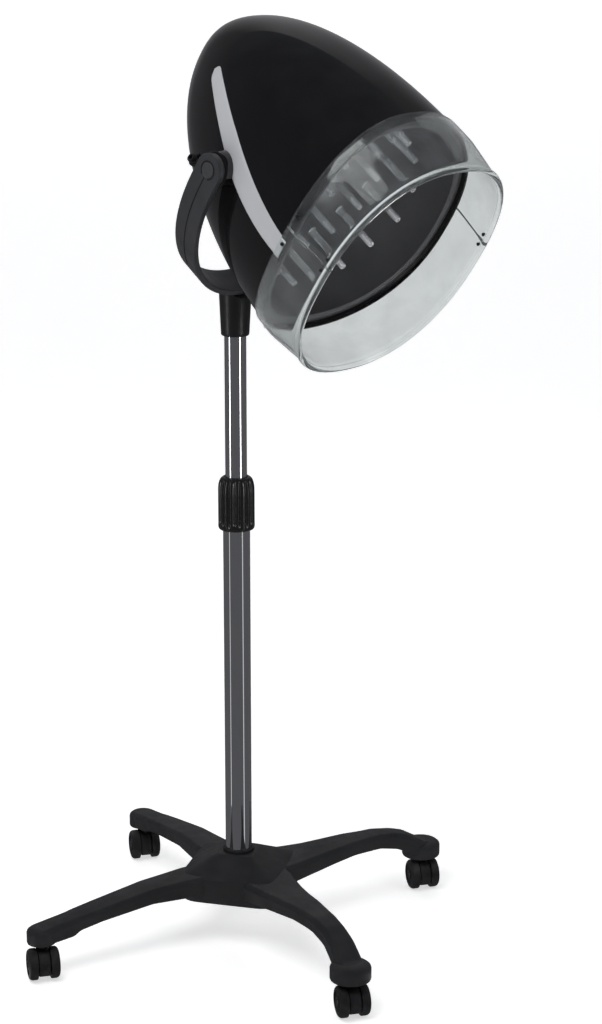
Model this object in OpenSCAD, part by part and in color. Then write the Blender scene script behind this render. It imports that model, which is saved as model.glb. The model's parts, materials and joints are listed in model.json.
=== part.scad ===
// Salon hood hair dryer on a rolling stand.
// Millimetres, +Z up. The origin is on the floor at the pole's axis and the hood faces -Y.

/* [Base] */
// Distance of each caster stem from the pole's axis
caster_reach = 331; // [300:5:380]
// Turn of the base about the pole, counter-clockwise from the hood's facing direction
base_turn = 30; // [0:5:45]
// Height of the hub's top, where the pole enters
hub_top = 131; // [125:1:140]
// Width of the hub's raised block at its foot
hub_width = 150; // [130:5:160]
// Height of an arm's top face over its caster
tip_top = 79; // [75:1:85]
// Outside radius of a front caster socket
socket_r = 30; // [26:0.5:34]
// Outside radius of the rounded tip of a rear arm
rear_tip_r = 22; // [20:0.5:25]

/* [Casters] */
// Wheel radius
wheel_r = 23.5; // [22:0.5:26]
// Width of one wheel
wheel_w = 13.5; // [12:0.5:15]
// Width over both wheels
caster_w = 46; // [43:1:50]
// Distance from the stem's axis back to the axle
caster_trail = 10; // [8:1:16]
// Turn of the casters about their stems, from the direction of -Y
caster_turn = 150; // [-180:5:180]
// Axle radius
axle_r = 4; // [3:0.5:5]
// Stem radius
stem_r = 5.5; // [4.5:0.5:6.5]

/* [Pole] */
// Outside radius of the lower tube
lower_r = 20; // [18:0.5:22]
// Outside radius of the upper tube
upper_r = 16; // [14:0.5:17]
// Wall of both tubes
tube_wall = 1.5; // [1:0.25:2]
// Height of the lower tube's top end
lower_top = 660; // [620:5:700]
// Height of the twist grip
grip_h = 79; // [70:1:90]
// Outside radius of the twist grip
grip_r = 27; // [25:0.5:31]
// Length of the upper tube that stays inside the lower tube when lowered
upper_inside = 400; // [370:5:430]

/* [Yoke] */
// Height of the yoke's lowest point, on the pole's axis
yoke_z = 1006; // [960:2:1040]
// Lean of the yoke forward from the vertical
yoke_lean = 35; // [25:1:45]
// Length along the yoke from its lowest point to the pivot
yoke_reach = 228; // [215:1:240]
// Width of the band
band_w = 46; // [40:1:50]
// Thickness of the band
band_t = 9; // [7:0.5:11]
// Half of the clear width between the arms
yoke_half = 163.6; // [160:0.2:170]

/* [Hood] */
// Tilt of the hood's axis back from the vertical
hood_tilt = 55; // [35:1:70]
// Length from the opening's plane to the crown
hood_len = 455; // [440:1:480]
// Half of the hood's size front to back
hood_a = 185; // [175:1:190]
// Half of the hood's size side to side
hood_b = 160; // [150:1:160]
// Squareness of the outline seen along the axis: 2 is an ellipse
hood_n = 2.3; // [2:0.05:2.6]
// Height above the opening's plane at which the dome begins to close in
dome_start = 68; // [50:1:80]
// Forward shift of the crown
crown_shift = 33; // [0:1:40]
// Height of the pivot above the opening's plane
pivot_d = 238; // [225:1:250]
// Wall of the outer shell
shell_wall = 3; // [2:0.25:4]
// Wall of the clear visor and skirt
clear_wall = 3; // [2:0.25:3.5]
// Height of the inner dome's top above the opening's plane
liner_top = 272; // [255:1:280]
// Length of an air finger
finger_len = 70; // [30:1:74]

/* [Fan and heater] */
// Fan radius
fan_r = 56; // [48:1:62]
// Number of fan blades
fan_blades = 9; // [5:1:11]
// Motor can radius
motor_r = 30; // [25:1:34]
// Motor can length
motor_len = 46; // [38:1:50]

/* [Controls] */
// Radius of a control knob
knob_r = 15; // [12:0.5:17]
// Height of a control knob
knob_h = 14; // [10:1:18]

/* [Fits] */
// Radial clearance of a running fit
run_fit = 0.05; // [0.02:0.01:0.09]
// Gap between parts that move past each other
move_gap = 0.6; // [0.4:0.1:1]
// Gap between parts that are fixed together
seat_gap = 0.1; // [0.05:0.05:0.2]

/* [Hidden] */
$fn = 64;
CAST = [0, 1, 2, 3];

// Base: heights and depths
socket_bottom = 52;
hub_bottom = 66;
hub_shoulder = 108;
foot_depth = 50;
socket_step = 5;
stem_depth = 24;
bolt_r = 5;
bolt_head_r = 9;
bolt_head_h = 6;
bolt_grip = 22;

// Pole
grip_bottom = lower_top - 21;
grip_top = grip_bottom + grip_h;
upper_bottom = lower_top - upper_inside;
glide_h = 36;
bush_depth = 46;
bush_lip = 3;
collet_r = 23.2;
collet_top = grip_top - 16;

// Yoke
collar_bottom = yoke_z - 78;
upper_top = yoke_z - 19;
collar_r0 = 20.5;
collar_r1 = 24;
band_bow = 205;
cap_r = 11;
cap_depth = 3;
pivot_r = 6;
bolt_reach = 14;

// Hood: the pivot lies on the yoke
pivot_y = -yoke_reach * sin(yoke_lean);
pivot_z = yoke_z + yoke_reach * cos(yoke_lean);
ring_n = 48;
rows = 14;
visor_gap = 0.4;
trim_low = 90;
trim_high = 360;
visor_split = 83;
washer_t = 2;
flange_gap = 1.8;
pin_reach = shell_wall + flange_gap + 2;
boss_r = 25;
boss_face = yoke_half - seat_gap - washer_t;
boss_root = hood_b * 0.84;

// Casters
fork_half = caster_w / 2 - wheel_w - move_gap;
stem_foot = 29;
fork_foot = 9;

// Inside the hood, heights above the opening's plane
plate_d = 345;
plate_t = 3;
fan_d = 316;
fan_y = -20;
fan_h = 22;
coil_d = 296;
finger_r = 4.5;
board_drop = 8;
board_h = 3;
board_r = 52;
leg_h = 34;
wire_r = 1.5;

// Control panel on the right side of the hood, above the pivot
panel_w = 72;
panel_h = 66;
panel_t = 16;
panel_d = 335;
panel_x = 124;
panel_y = 12;
panel_lean = 21;
knob_x = 18;
knob_z = 10;
shaft_r = 3;
rocker_x = -10;
rocker_z = -20;
lens_x = 20;
lens_r = 4;

// Gland on the left side of the hood, behind the pivot
gland_d = 305;
gland_t = -112;
gland_turn = -62;
gland_lean = 18;
gland_bore = 3.75;
gland_r = 6.5;

// ---------------------------------------------------------------- helpers

// Signed power, which turns a circle into a superellipse.
function spow(v, n) = sign(v) * pow(abs(v), 2 / n);

// How far up the dome a height is, from 0 where it begins to close in to 1 at the crown.
function dome_x(d, len) = max(0, (d - dome_start) / (len - dome_start));

// Size of the outline at a height: it narrows a little below the dome's start.
function dome_k(d, len) = d < dome_start
  ? 1 - 0.05 * (dome_start - d) / dome_start
  : sqrt(max(0, 1 - pow(dome_x(d, len), 2)));

// A point of the hood's surface: height d, angle t from the front, offset out by off.
function hood_pt(d, t, off = 0, len = hood_len, shift = crown_shift) =
  let (k = dome_k(d, len + off), s = shift * pow(min(1, dome_x(d, len + off)), 1.5))
  [(hood_b + off) * k * spow(sin(t), hood_n), -((hood_a + off) * k * spow(cos(t), hood_n) + s), d];

// The edge of the clear visor on the shell, and the rims of the shell and the inner dome.
function band_edge(t) = 88 + 21 * cos(t);
function shell_rim(t) = band_edge(t) - 13;
function liner_rim(t) = band_edge(t) - 6;

// A ring of the dome: v is 0 at the rim and 1 at the crown.
function rise(v) = 1 - (1 - v) * (1 - v);
function dome_ring(v, rim_off, off, len, shift, lift = 0) = [for (i = [0 : ring_n - 1])
  let (t = 360 * i / ring_n, r = shell_rim(t) + lift)
  hood_pt(r + (len + off - r) * rise(v), t, off + rim_off, len - rim_off, shift)];

// Faces between two rings of n points that start at indices a and b.
function band_faces(a, b, n) = [for (i = [0 : n - 1]) each [
  [a + i, a + (i + 1) % n, b + i],
  [a + (i + 1) % n, b + (i + 1) % n, b + i]]];

// A solid skinned over a list of rings that go up the outside, over the crown and down the inside.
// The last outer ring and the first inner ring close on a point each.
module domed_wall(outer, inner) {
  no = len(outer);
  ni = len(inner);
  n = len(outer[0]);
  top = outer[no - 1][0][2];
  oc = [0, (outer[no - 1][0][1] + outer[no - 1][n / 2][1]) / 2, top];
  ic = [0, (inner[ni - 1][0][1] + inner[ni - 1][n / 2][1]) / 2, inner[ni - 1][0][2]];
  pts = concat([for (r = outer) each r], [for (r = inner) each r], [oc, ic]);
  o_tip = n * (no + ni);
  i0 = n * no;
  faces = concat(
    [for (k = [0 : no - 2]) each band_faces(n * k, n * (k + 1), n)],
    [for (i = [0 : n - 1]) [n * (no - 1) + i, n * (no - 1) + (i + 1) % n, o_tip]],
    [for (k = [0 : ni - 2]) each band_faces(i0 + n * (k + 1), i0 + n * k, n)],
    [for (i = [0 : n - 1]) [i0 + n * (ni - 1) + (i + 1) % n, i0 + n * (ni - 1) + i, o_tip + 1]],
    band_faces(i0, 0, n));
  polyhedron(pts, [for (f = faces) [f[0], f[2], f[1]]], convexity = 10);
}

// A thick patch between an outer and an inner grid of points of the same size.
module thick_patch(outer, inner) {
  m = len(outer);
  n = len(outer[0]);
  pts = concat([for (r = outer) each r], [for (r = inner) each r]);
  q = m * n;
  quad = function (a, b, c, d) [[a, b, c], [a, c, d]];
  faces = concat(
    [for (i = [0 : m - 2], j = [0 : n - 2]) each
      quad(i * n + j, i * n + j + 1, (i + 1) * n + j + 1, (i + 1) * n + j)],
    [for (i = [0 : m - 2], j = [0 : n - 2]) each
      quad(q + i * n + j, q + (i + 1) * n + j, q + (i + 1) * n + j + 1, q + i * n + j + 1)],
    [for (j = [0 : n - 2]) each quad(j, q + j, q + j + 1, j + 1)],
    [for (j = [0 : n - 2]) each
      quad((m - 1) * n + j + 1, q + (m - 1) * n + j + 1, q + (m - 1) * n + j, (m - 1) * n + j)],
    [for (i = [0 : m - 2]) each quad((i + 1) * n, q + (i + 1) * n, q + i * n, i * n)],
    [for (i = [0 : m - 2]) each
      quad(i * n + n - 1, q + i * n + n - 1, q + (i + 1) * n + n - 1, (i + 1) * n + n - 1)]);
  polyhedron(pts, [for (f = faces) [f[0], f[2], f[1]]], convexity = 10);
}

// Places the hood's own frame: its opening's plane is z = 0, its crown is up and its front is -Y.
module at_hood() {
  translate([0, pivot_y, pivot_z]) rotate([-hood_tilt, 0, 0]) translate([0, 0, -pivot_d]) children();
}

// Places the yoke's own frame: its lowest point at the origin, its arms going up.
module at_yoke() {
  translate([0, 0, yoke_z]) rotate([yoke_lean, 0, 0]) children();
}

// Places the control panel's own frame: its face looks along +Y and its middle is at the origin.
module at_panel() {
  at_hood() translate([panel_x, panel_y, panel_d]) rotate([0, -panel_lean, 0]) rotate([0, 0, -90])
    children();
}

// Places the gland's own frame: it stands on the shell and points outwards along +Z.
module at_gland() {
  at_hood() translate(hood_pt(gland_d, gland_t)) rotate([0, 0, gland_turn]) rotate([90 - gland_lean, 0, 0])
    children();
}

// Places caster number i, with its stem's axis at the origin and its wheels behind it.
module at_caster(i) {
  rotate([0, 0, base_turn + 45 + 90 * i]) translate([0, -caster_reach, 0])
    rotate([0, 0, caster_turn - (base_turn + 45 + 90 * i)]) children();
}

// A ring of rectangular section, as one turned solid.
module tube(r_out, r_in, z0, z1) {
  rotate_extrude() translate([r_in, z0]) square([r_out - r_in, z1 - z0]);
}

// A cylinder along X between two places.
module rod_x(r, x0, x1) {
  translate([x0, 0, 0]) rotate([0, 90, 0]) cylinder(r = r, h = x1 - x0);
}

// ---------------------------------------------------------------- base

// Half outlines of the arms seen from above: distance from the pole and distance to the side.
// A front arm bows towards the front, so its two sides differ.
FRONT_IN = [[0, 58], [66, 55], [110, 45], [150, 38], [229, 29], [300, 25], [caster_reach, 22]];
FRONT_OUT = [[caster_reach, -22], [270, -10], [222, -12], [141, -22], [88, -30], [0, -50]];
REAR_SIDE = [[0, 36], [88, 30], [158, 25], [caster_reach - 40, rear_tip_r], [caster_reach, rear_tip_r]];

// Profiles of the arms seen from the side: distance from the pole and height of the top face.
FRONT_TOP = [[0, 108], [120, 109], [190, 113], [240, 113], [272, 108], [298, 99],
  [caster_reach, tip_top]];
REAR_TOP = [[0, 110], [88, 110], [158, 106], [240, 93], [caster_reach, tip_top]];
FRONT_LOW = [[caster_reach, socket_bottom], [298, 68], [272, 81], [240, 89], [190, 90], [120, 82], [0, 72]];
REAR_LOW = [[caster_reach, socket_bottom], [286, 60], [276, 65], [240, 72], [158, 82], [88, 80], [0, 72]];

function backwards(list) = [for (i = [len(list) - 1 : -1 : 0]) list[i]];

// An arm along +X: its outline from above cut by its profile from the side.
module arm(plan, profile) {
  intersection() {
    linear_extrude(height = 200) polygon(plan);
    rotate([90, 0, 0]) linear_extrude(height = 300, center = true) polygon(profile);
  }
}

// Places the underside of caster socket number i.
module at_socket(i) {
  rotate([0, 0, 45 + 90 * i]) translate([0, -caster_reach, socket_bottom]) children();
}

module base_frame() {
  color("#333436") rotate([0, 0, base_turn]) difference() {
    union() {
      hub_block();
      for (s = [0, 1]) mirror([s, 0, 0]) {
        rotate([0, 0, -45]) mirror([0, 1, 0])
          arm(concat(FRONT_IN, FRONT_OUT), concat(FRONT_TOP, FRONT_LOW));
        rotate([0, 0, 45]) arm(concat(REAR_SIDE, [for (q = backwards(REAR_SIDE)) [q[0], -q[1]]]),
          concat(REAR_TOP, REAR_LOW));
      }
      for (i = CAST) at_socket(i) {
        r = i == 0 || i == 3 ? socket_r : rear_tip_r;
        cylinder(r = r, h = tip_top - socket_step - socket_bottom);
        cylinder(r = r - 4, h = tip_top - socket_bottom);
      }
    }
    translate([0, 0, hub_top - foot_depth]) cylinder(r = lower_r + seat_gap, h = foot_depth + 1);
    cylinder(r = bolt_r + seat_gap, h = hub_top);
    cylinder(r = bolt_head_r + 1, h = hub_bottom + bolt_head_h);
    for (i = CAST) at_socket(i) translate([0, 0, -1]) cylinder(r = stem_r + run_fit, h = stem_depth - 1);
  }
}

// The raised block under the pole: a low pyramid on a plinth, as two crossed profiles.
module hub_block() {
  w = hub_width / 2;
  foot = w - 6;
  top = lower_r + 7;
  waist = hub_bottom + 24;
  profile = [[-foot, hub_bottom], [foot, hub_bottom], [w, waist], [w, hub_shoulder], [top, hub_top],
    [-top, hub_top], [-w, hub_shoulder], [-w, waist]];
  intersection() {
    rotate([90, 0, 0]) linear_extrude(height = 2 * w, center = true) polygon(profile);
    rotate([90, 0, 90]) linear_extrude(height = 2 * w, center = true) polygon(profile);
  }
}

module foot_plug() {
  color("#d0d2d4") translate([0, 0, hub_top - foot_depth]) difference() {
    cylinder(r = lower_r - tube_wall, h = 34);
    translate([0, 0, -1]) cylinder(r = bolt_r, h = bolt_grip + 4);
  }
}

module base_bolt() {
  tip = hub_top - foot_depth + bolt_grip;
  color("#a7a9ab") translate([0, 0, hub_bottom]) {
    cylinder(r = bolt_head_r, h = bolt_head_h, $fn = 6);
    cylinder(r = bolt_r, h = tip - hub_bottom);
  }
}

module foot_ring() {
  color("#17181a") rotate_extrude() polygon([[lower_r + seat_gap, hub_top], [lower_r + 4, hub_top],
    [lower_r + 3.5, hub_top + 3.5], [lower_r + 2, hub_top + 5], [lower_r + seat_gap, hub_top + 5]]);
}

// ---------------------------------------------------------------- pole

module lower_pole() {
  color("#dfe1e3") tube(lower_r, lower_r - tube_wall, hub_top - foot_depth, lower_top);
}

module guide_bush() {
  color("#1c1d1f") rotate_extrude() polygon([[upper_r + run_fit, lower_top - bush_depth],
    [lower_r - tube_wall, lower_top - bush_depth], [lower_r - tube_wall, lower_top],
    [lower_r, lower_top], [lower_r, lower_top + bush_lip], [upper_r + run_fit, lower_top + bush_lip]]);
}

// Split collet that clamps the upper tube: six fingers on a sleeve that is fixed to the lower tube.
module lock_collet() {
  color("#2a2b2d") difference() {
    rotate_extrude() polygon([[lower_r, lower_top - 14], [collet_r, lower_top - 14],
      [collet_r, collet_top - 14], [collet_r - 3, collet_top], [upper_r + move_gap, collet_top],
      [upper_r + move_gap, lower_top + bush_lip], [lower_r, lower_top + bush_lip]]);
    for (i = [0 : 2]) rotate([0, 0, 60 * i]) translate([-grip_r, -1, collet_top - 26])
      cube([2 * grip_r, 2, 27]);
  }
}

// Twist grip: a ribbed sleeve with a rounded top that turns on the collet.
module lock_grip() {
  ribs = 20;
  color("#111214") difference() {
    rotate_extrude() polygon([[collet_r + run_fit, grip_bottom], [grip_r - 2, grip_bottom],
      [grip_r, grip_bottom + 3], [grip_r, grip_top - 18], [grip_r - 1.5, grip_top - 9],
      [grip_r - 4, grip_top - 3], [grip_r - 7, grip_top], [upper_r + move_gap, grip_top],
      [upper_r + move_gap, collet_top + 1], [collet_r - 2, collet_top + 1],
      [collet_r + run_fit, collet_top - 8]]);
    for (i = [0 : ribs - 1]) rotate([0, 0, 360 * i / ribs]) translate([grip_r + 1, 0, grip_bottom + 14])
      cylinder(r = 2, h = grip_h - 24, $fn = 24);
  }
}

module upper_pole() {
  color("#dfe1e3") tube(upper_r, upper_r - tube_wall, upper_bottom, upper_top);
}

// Piston on the upper tube's lower end that keeps it straight in the lower tube.
module glide_plug() {
  foot = upper_bottom - 12;
  wide = lower_r - tube_wall - run_fit;
  neck = upper_r - tube_wall;
  color("#1c1d1f") rotate_extrude() polygon([[0, foot], [wide, foot], [wide, upper_bottom],
    [neck, upper_bottom], [neck, foot + glide_h], [0, foot + glide_h]]);
}

// ---------------------------------------------------------------- yoke

module yoke_collar() {
  top = yoke_z + 24;
  color("#121315") difference() {
    rotate_extrude() polygon([[0, collar_bottom], [collar_r0 - 2, collar_bottom],
      [collar_r0, collar_bottom + 2], [collar_r1, top], [0, top]]);
    translate([0, 0, collar_bottom - 1])
      cylinder(r = upper_r + run_fit, h = upper_top + seat_gap - collar_bottom + 1);
    at_yoke() translate([-100, -100, -band_t / 2 + 1.2]) cube([200, 200, 100]);
  }
}

// Outline of the bow from its left end round to its right end.
function bow(half, drop) = [for (a = [-90 : 7.5 : 90]) [half * sin(a), band_bow - drop * cos(a)]];
module band_outline() {
  top = yoke_reach + band_w;
  wide = yoke_half + band_t;
  polygon(concat([[-wide, top]], bow(wide, band_bow + band_t / 2), [[wide, top], [yoke_half, top]],
    backwards(bow(yoke_half, band_bow - band_t / 2)), [[-yoke_half, top]]));
}

module yoke_band() {
  color("#4a4b4d") at_yoke() difference() {
    intersection() {
      rotate([90, 0, 0]) linear_extrude(height = band_w, center = true) band_outline();
      rotate([90, 0, 90]) linear_extrude(height = 400, center = true) union() {
        translate([-band_w / 2, -20]) square([band_w, yoke_reach + 20]);
        translate([0, yoke_reach]) circle(r = band_w / 2);
      }
    }
    translate([0, 0, yoke_reach]) rod_x(pivot_r + run_fit, -200, 200);
    for (s = [0, 1]) mirror([s, 0, 0]) translate([0, 0, yoke_reach])
      rod_x(cap_r + run_fit, yoke_half + band_t - cap_depth, 200);
  }
}

module pivot_bolts() {
  color("#9a9c9e") at_yoke() for (s = [0, 1]) mirror([s, 0, 0]) translate([0, 0, yoke_reach])
    rod_x(pivot_r, boss_face - bolt_reach + move_gap, yoke_half + band_t - cap_depth + move_gap);
}

module pivot_caps() {
  color("#5b5c5f") at_yoke() for (s = [0, 1]) mirror([s, 0, 0]) translate([0, 0, yoke_reach])
    rod_x(cap_r, yoke_half + band_t - cap_depth + move_gap, yoke_half + band_t + 0.5);
}

module friction_washers() {
  color("#c9c5b4") at_yoke() for (s = [0, 1]) mirror([s, 0, 0]) translate([0, 0, yoke_reach]) difference() {
    rod_x(boss_r - 3, boss_face, boss_face + washer_t);
    rod_x(pivot_r + run_fit, boss_face - 1, boss_face + washer_t + 1);
  }
}

module pivot_bosses() {
  color("#0c0c0e") at_yoke() for (s = [0, 1]) mirror([s, 0, 0]) translate([0, 0, yoke_reach]) difference() {
    rod_x(boss_r, boss_root, boss_face);
    rod_x(pivot_r + run_fit, boss_face - bolt_reach, boss_face + 1);
  }
}

// ---------------------------------------------------------------- hood

module hood_shell() {
  outer = [for (i = [0 : rows]) dome_ring(i / (rows + 0.5), 0, 0, hood_len, crown_shift)];
  inner = [for (i = [0 : rows]) dome_ring(i / (rows + 0.5), 0, -shell_wall, hood_len, crown_shift)];
  color("#08080a") difference() {
    at_hood() domed_wall(outer, inner);
    at_yoke() translate([0, 0, yoke_reach]) {
      rod_x(boss_r, boss_root, yoke_half);
      rod_x(boss_r, -yoke_half, -boss_root);
    }
    at_gland() translate([0, 0, -20]) cylinder(r = gland_r, h = 40);
    at_panel() panel_block(0);
    at_panel() for (s = [-1, 1]) translate([s * knob_x, 0, knob_z]) rotate([-90, 0, 0])
      cylinder(r = knob_r + move_gap, h = knob_h + move_gap);
  }
}

// A grid of points on the hood between two angles and two heights, at an offset.
function hood_grid(t0, t1, nt, lo, hi, nd, off) = [for (i = [0 : nd]) [for (j = [0 : nt])
  let (t = t0 + (t1 - t0) * j / nt, a = lo(t), b = hi(t)) hood_pt(a + (b - a) * i / nd, t, off)]];

// A raised silver stripe on each side, which leans forward as it goes up.
module side_trims() {
  steps = 20;
  low = trim_low;
  high = trim_high;
  function trim_t(d) = 90.7 - 20 * pow((d - low) / (high - low), 1.9);
  function trim_half(d) = 2.8 + 2.4 * min(1, (d - low) / 170);
  grid = function (off) [for (i = [0 : steps]) [for (j = [-1, 0, 1])
    let (d = low + (high - low) * i / steps) hood_pt(d, trim_t(d) + j * trim_half(d), off)]];
  color("#c9ccd0") difference() {
    at_hood() for (s = [0, 1]) mirror([s, 0, 0]) thick_patch(grid(1.2), grid(0.05));
    at_yoke() translate([0, 0, yoke_reach]) rod_x(boss_r + seat_gap, -yoke_half, yoke_half);
  }
}

// A clear sheet on the outside of the hood, from the opening's plane up to the edge on the shell.
module clear_band(t0, t1, nt) {
  sheet = function (off) hood_grid(t0, t1, nt, function (t) 0, function (t) band_edge(t), 5, off);
  thick_patch(sheet(visor_gap + clear_wall), sheet(visor_gap));
}

module front_visor() {
  color([0.86, 0.88, 0.9, 0.35]) at_hood() clear_band(-visor_split, visor_split, 32);
}

module rear_skirt() {
  a = visor_split + 0.15;
  color([0.86, 0.88, 0.9, 0.35]) at_hood() clear_band(a, 360 - a, 36);
}

// Small pins that hold the visor and the skirt to the shell.
module skirt_pins() {
  a = visor_split;
  color("#202124") at_hood() for (t = [a - 6, a + 6, 150, 210, 354 - a, 366 - a]) {
    p = hood_pt(shell_rim(t) + 6, t);
    translate(p) rotate([0, 0, atan2(-p[0], p[1])]) rotate([-90, 0, 0])
      translate([0, 0, -pin_reach]) cylinder(r = 2, h = pin_reach + clear_wall + 2, $fn = 24);
  }
}

// Inner dome: a flange behind the shell's rim, then a bowl that stands clear of the shell.
module inner_dome() {
  gap = -16;
  wall = 2.5;
  function ring(v, off, lift) = [for (i = [0 : ring_n - 1])
    let (t = 360 * i / ring_n, r = liner_rim(t) + lift, top = liner_top + off - gap)
    hood_pt(r + (top - r) * rise(v), t, off, liner_top - gap, 0)];
  function flange(off, lift) = [for (i = [0 : ring_n - 1])
    let (t = 360 * i / ring_n) hood_pt(liner_rim(t) + lift, t, off)];
  outer = concat([flange(-shell_wall - flange_gap, 0), flange(-shell_wall - flange_gap, wall)],
    [for (i = [0 : rows - 2]) ring(i / (rows - 1.5), gap, wall)]);
  inner = [for (i = [0 : rows - 2]) ring(i / (rows - 1.5), gap - wall, 0)];
  color("#1b1b1e") at_hood() domed_wall(outer, inner);
}

// Height of the inner dome's inside over a place.
function liner_z(x, y) = let (g = 18.5, a = hood_a - g, b = hood_b - g,
    q = pow(abs(x) / b, hood_n) + pow(abs(y) / a, hood_n), k = pow(q, 1 / hood_n))
  dome_start + (liner_top - 2.5 - dome_start) * sqrt(max(0, 1 - k * k));

// Rings of clear fingers that carry the air down towards the hair.
module air_fingers() {
  rings = [[46, 6, 0], [88, 11, 12], [122, 15, 4]];
  color([0.9, 0.92, 0.94, 0.45]) at_hood() for (ring = rings) for (i = [0 : ring[1] - 1]) {
    t = ring[2] + 360 * i / ring[1];
    x = ring[0] * 0.92 * sin(t);
    y = -ring[0] * 1.06 * cos(t);
    translate([x, y, liner_z(x, y) - finger_len]) {
      cylinder(r = finger_r, h = finger_len + 1, $fn = 24);
      sphere(r = finger_r, $fn = 24);
    }
  }
}

// ---------------------------------------------------------------- fan, motor and heater

module fan_plate() {
  edge = [for (i = [0 : ring_n - 1])
    let (p = hood_pt(plate_d + plate_t, 360 * i / ring_n, -shell_wall)) [p[0], p[1]]];
  color("#b9bcbe") difference() {
    at_hood() translate([0, 0, plate_d]) linear_extrude(height = plate_t) difference() {
      polygon(edge);
      translate([0, fan_y]) circle(r = 5);
      for (i = [0 : 5]) translate([0, fan_y]) rotate(60 * i) translate([42, 0]) circle(r = 13);
    }
    at_panel() panel_block(seat_gap);
  }
}

module motor_can() {
  color("#8d9092") at_hood() translate([0, fan_y, plate_d + plate_t]) difference() {
    union() {
      cylinder(r = motor_r, h = motor_len);
      cylinder(r = 8, h = motor_len + 5);
    }
    translate([0, 0, -1]) cylinder(r = 3 + run_fit, h = motor_len - 4);
  }
}

module motor_shaft() {
  color("#c8cacc") at_hood() translate([0, fan_y, fan_d - 4])
    cylinder(r = 3, h = plate_d + plate_t + motor_len - 8 - fan_d + 4);
}

module fan_rotor() {
  color("#2c3a44") at_hood() translate([0, fan_y, fan_d]) difference() {
    union() {
      cylinder(r = 13, h = fan_h);
      for (i = [0 : fan_blades - 1]) rotate([0, 0, 360 * i / fan_blades]) translate([11, 0, fan_h / 2])
        rotate([32, 0, 0]) translate([0, -1, -10]) cube([fan_r - 12, 2, 20]);
    }
    translate([0, 0, -1]) cylinder(r = 3, h = fan_h + 2);
  }
}

// Mica disc that carries the heating wire, on three legs that stand on the inner dome.
module heater_frame() {
  color("#cfc5a4") at_hood() translate([0, fan_y, coil_d - board_drop]) difference() {
    union() {
      cylinder(r = board_r, h = board_h);
      for (i = [0 : 2]) rotate([0, 0, 120 * i]) translate([board_r - 6, 0, -leg_h])
        cylinder(r = 3, h = leg_h + board_h / 2);
    }
    for (i = [0 : 5]) rotate([0, 0, 60 * i + 30]) translate([board_r * 0.6, 0, -1])
      cylinder(r = board_r * 0.22, h = board_h + 2);
  }
}

// Heating wire: concentric rings standing on the boards.
module heater_coil() {
  color("#b8763a") at_hood() translate([0, fan_y, coil_d - board_drop + board_h + wire_r])
    for (r = [12 : 8 : 36]) rotate_extrude() translate([r, 0]) circle(r = wire_r, $fn = 16);
}

module thermostat() {
  color("#e4e1d6") at_hood() translate([0, fan_y + board_r - 7, coil_d - board_drop + board_h]) {
    cylinder(r = 7, h = 6);
    translate([-4, -4, 6]) cube([8, 8, 4]);
  }
}

// ---------------------------------------------------------------- back of the hood

module inlet_grille() {
  a = 20;
  pitch = 11;
  bar = 5;
  color("#141416") at_hood() for (d = [320 : pitch : 320 + 6 * pitch]) {
    strip = function (off) hood_grid(180 - a, 180 + a, 10, function (t) d, function (t) d + bar, 1, off);
    thick_patch(strip(2), strip(0.05));
  }
}

// The panel's block, grown by a gap on every side but its face.
module panel_block(gap) {
  translate([-panel_w / 2 - gap, -panel_t - gap, -panel_h / 2 - gap])
    cube([panel_w + 2 * gap, panel_t + gap, panel_h + 2 * gap]);
}

module control_panel() {
  color("#1a1a1d") at_panel() difference() {
    panel_block(0);
    for (s = [-1, 1]) translate([s * knob_x, 1, knob_z]) rotate([90, 0, 0])
      cylinder(r = shaft_r + run_fit, h = 11);
    translate([rocker_x - 10, -9, rocker_z - 7.5]) cube([20, 10, 15]);
    translate([lens_x, 1, rocker_z]) rotate([90, 0, 0]) cylinder(r = lens_r, h = 5);
  }
}

// A knob with its shaft, which turns in the panel.
module knob(x) {
  at_panel() translate([x, 0, knob_z]) rotate([-90, 0, 0]) {
    translate([0, 0, -9]) cylinder(r = shaft_r, h = 10);
    translate([0, 0, move_gap]) cylinder(r = knob_r, h = 3);
    translate([0, 0, move_gap + 3]) cylinder(r = knob_r - 2.5, h = knob_h - 3);
  }
}

module timer_knob() {
  color("#2b2c2f") knob(-knob_x);
}

module heat_knob() {
  color("#2b2c2f") knob(knob_x);
}

// Rocker: rests with its upper end pressed in and turns about its own middle line.
module power_rocker() {
  color("#a01f1f") at_panel() translate([rocker_x, -2, rocker_z]) intersection() {
    rotate([10, 0, 0]) translate([-9.4, -4, -6.6]) cube([18.8, 8.5, 13.2]);
    translate([-9.4, 0, 0]) rotate([0, 90, 0]) cylinder(r = 6.6, h = 18.8);
  }
}

module pilot_lens() {
  color([0.9, 0.35, 0.1, 0.7]) at_panel() translate([lens_x, 2, rocker_z]) rotate([90, 0, 0])
    cylinder(r = lens_r, h = 6);
}

// Gland that the lead would pass through. Its bore runs from its mouth to inside the shell.
module cable_gland() {
  color("#101012") at_gland() difference() {
    union() {
      translate([0, 0, -8]) cylinder(r = gland_r, h = 20);
      cylinder(r = gland_r + 2.5, h = 5);
    }
    translate([0, 0, -9]) cylinder(r = gland_bore, h = 22);
  }
}

module terminal_block() {
  size = [40, 16, 12];
  color("#d8d4c4") at_hood() translate([-size[0] / 2, 62, plate_d - size[2]]) cube(size);
}

module panel_screws() {
  inset = 6;
  color("#b0b2b4") at_panel() for (x = [-1, 1], z = [-1, 1])
    translate([x * (panel_w / 2 - inset), 1, z * (panel_h / 2 - inset)])
      rotate([90, 0, 0]) cylinder(r = 3, h = 1);
}

// ---------------------------------------------------------------- casters

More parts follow.
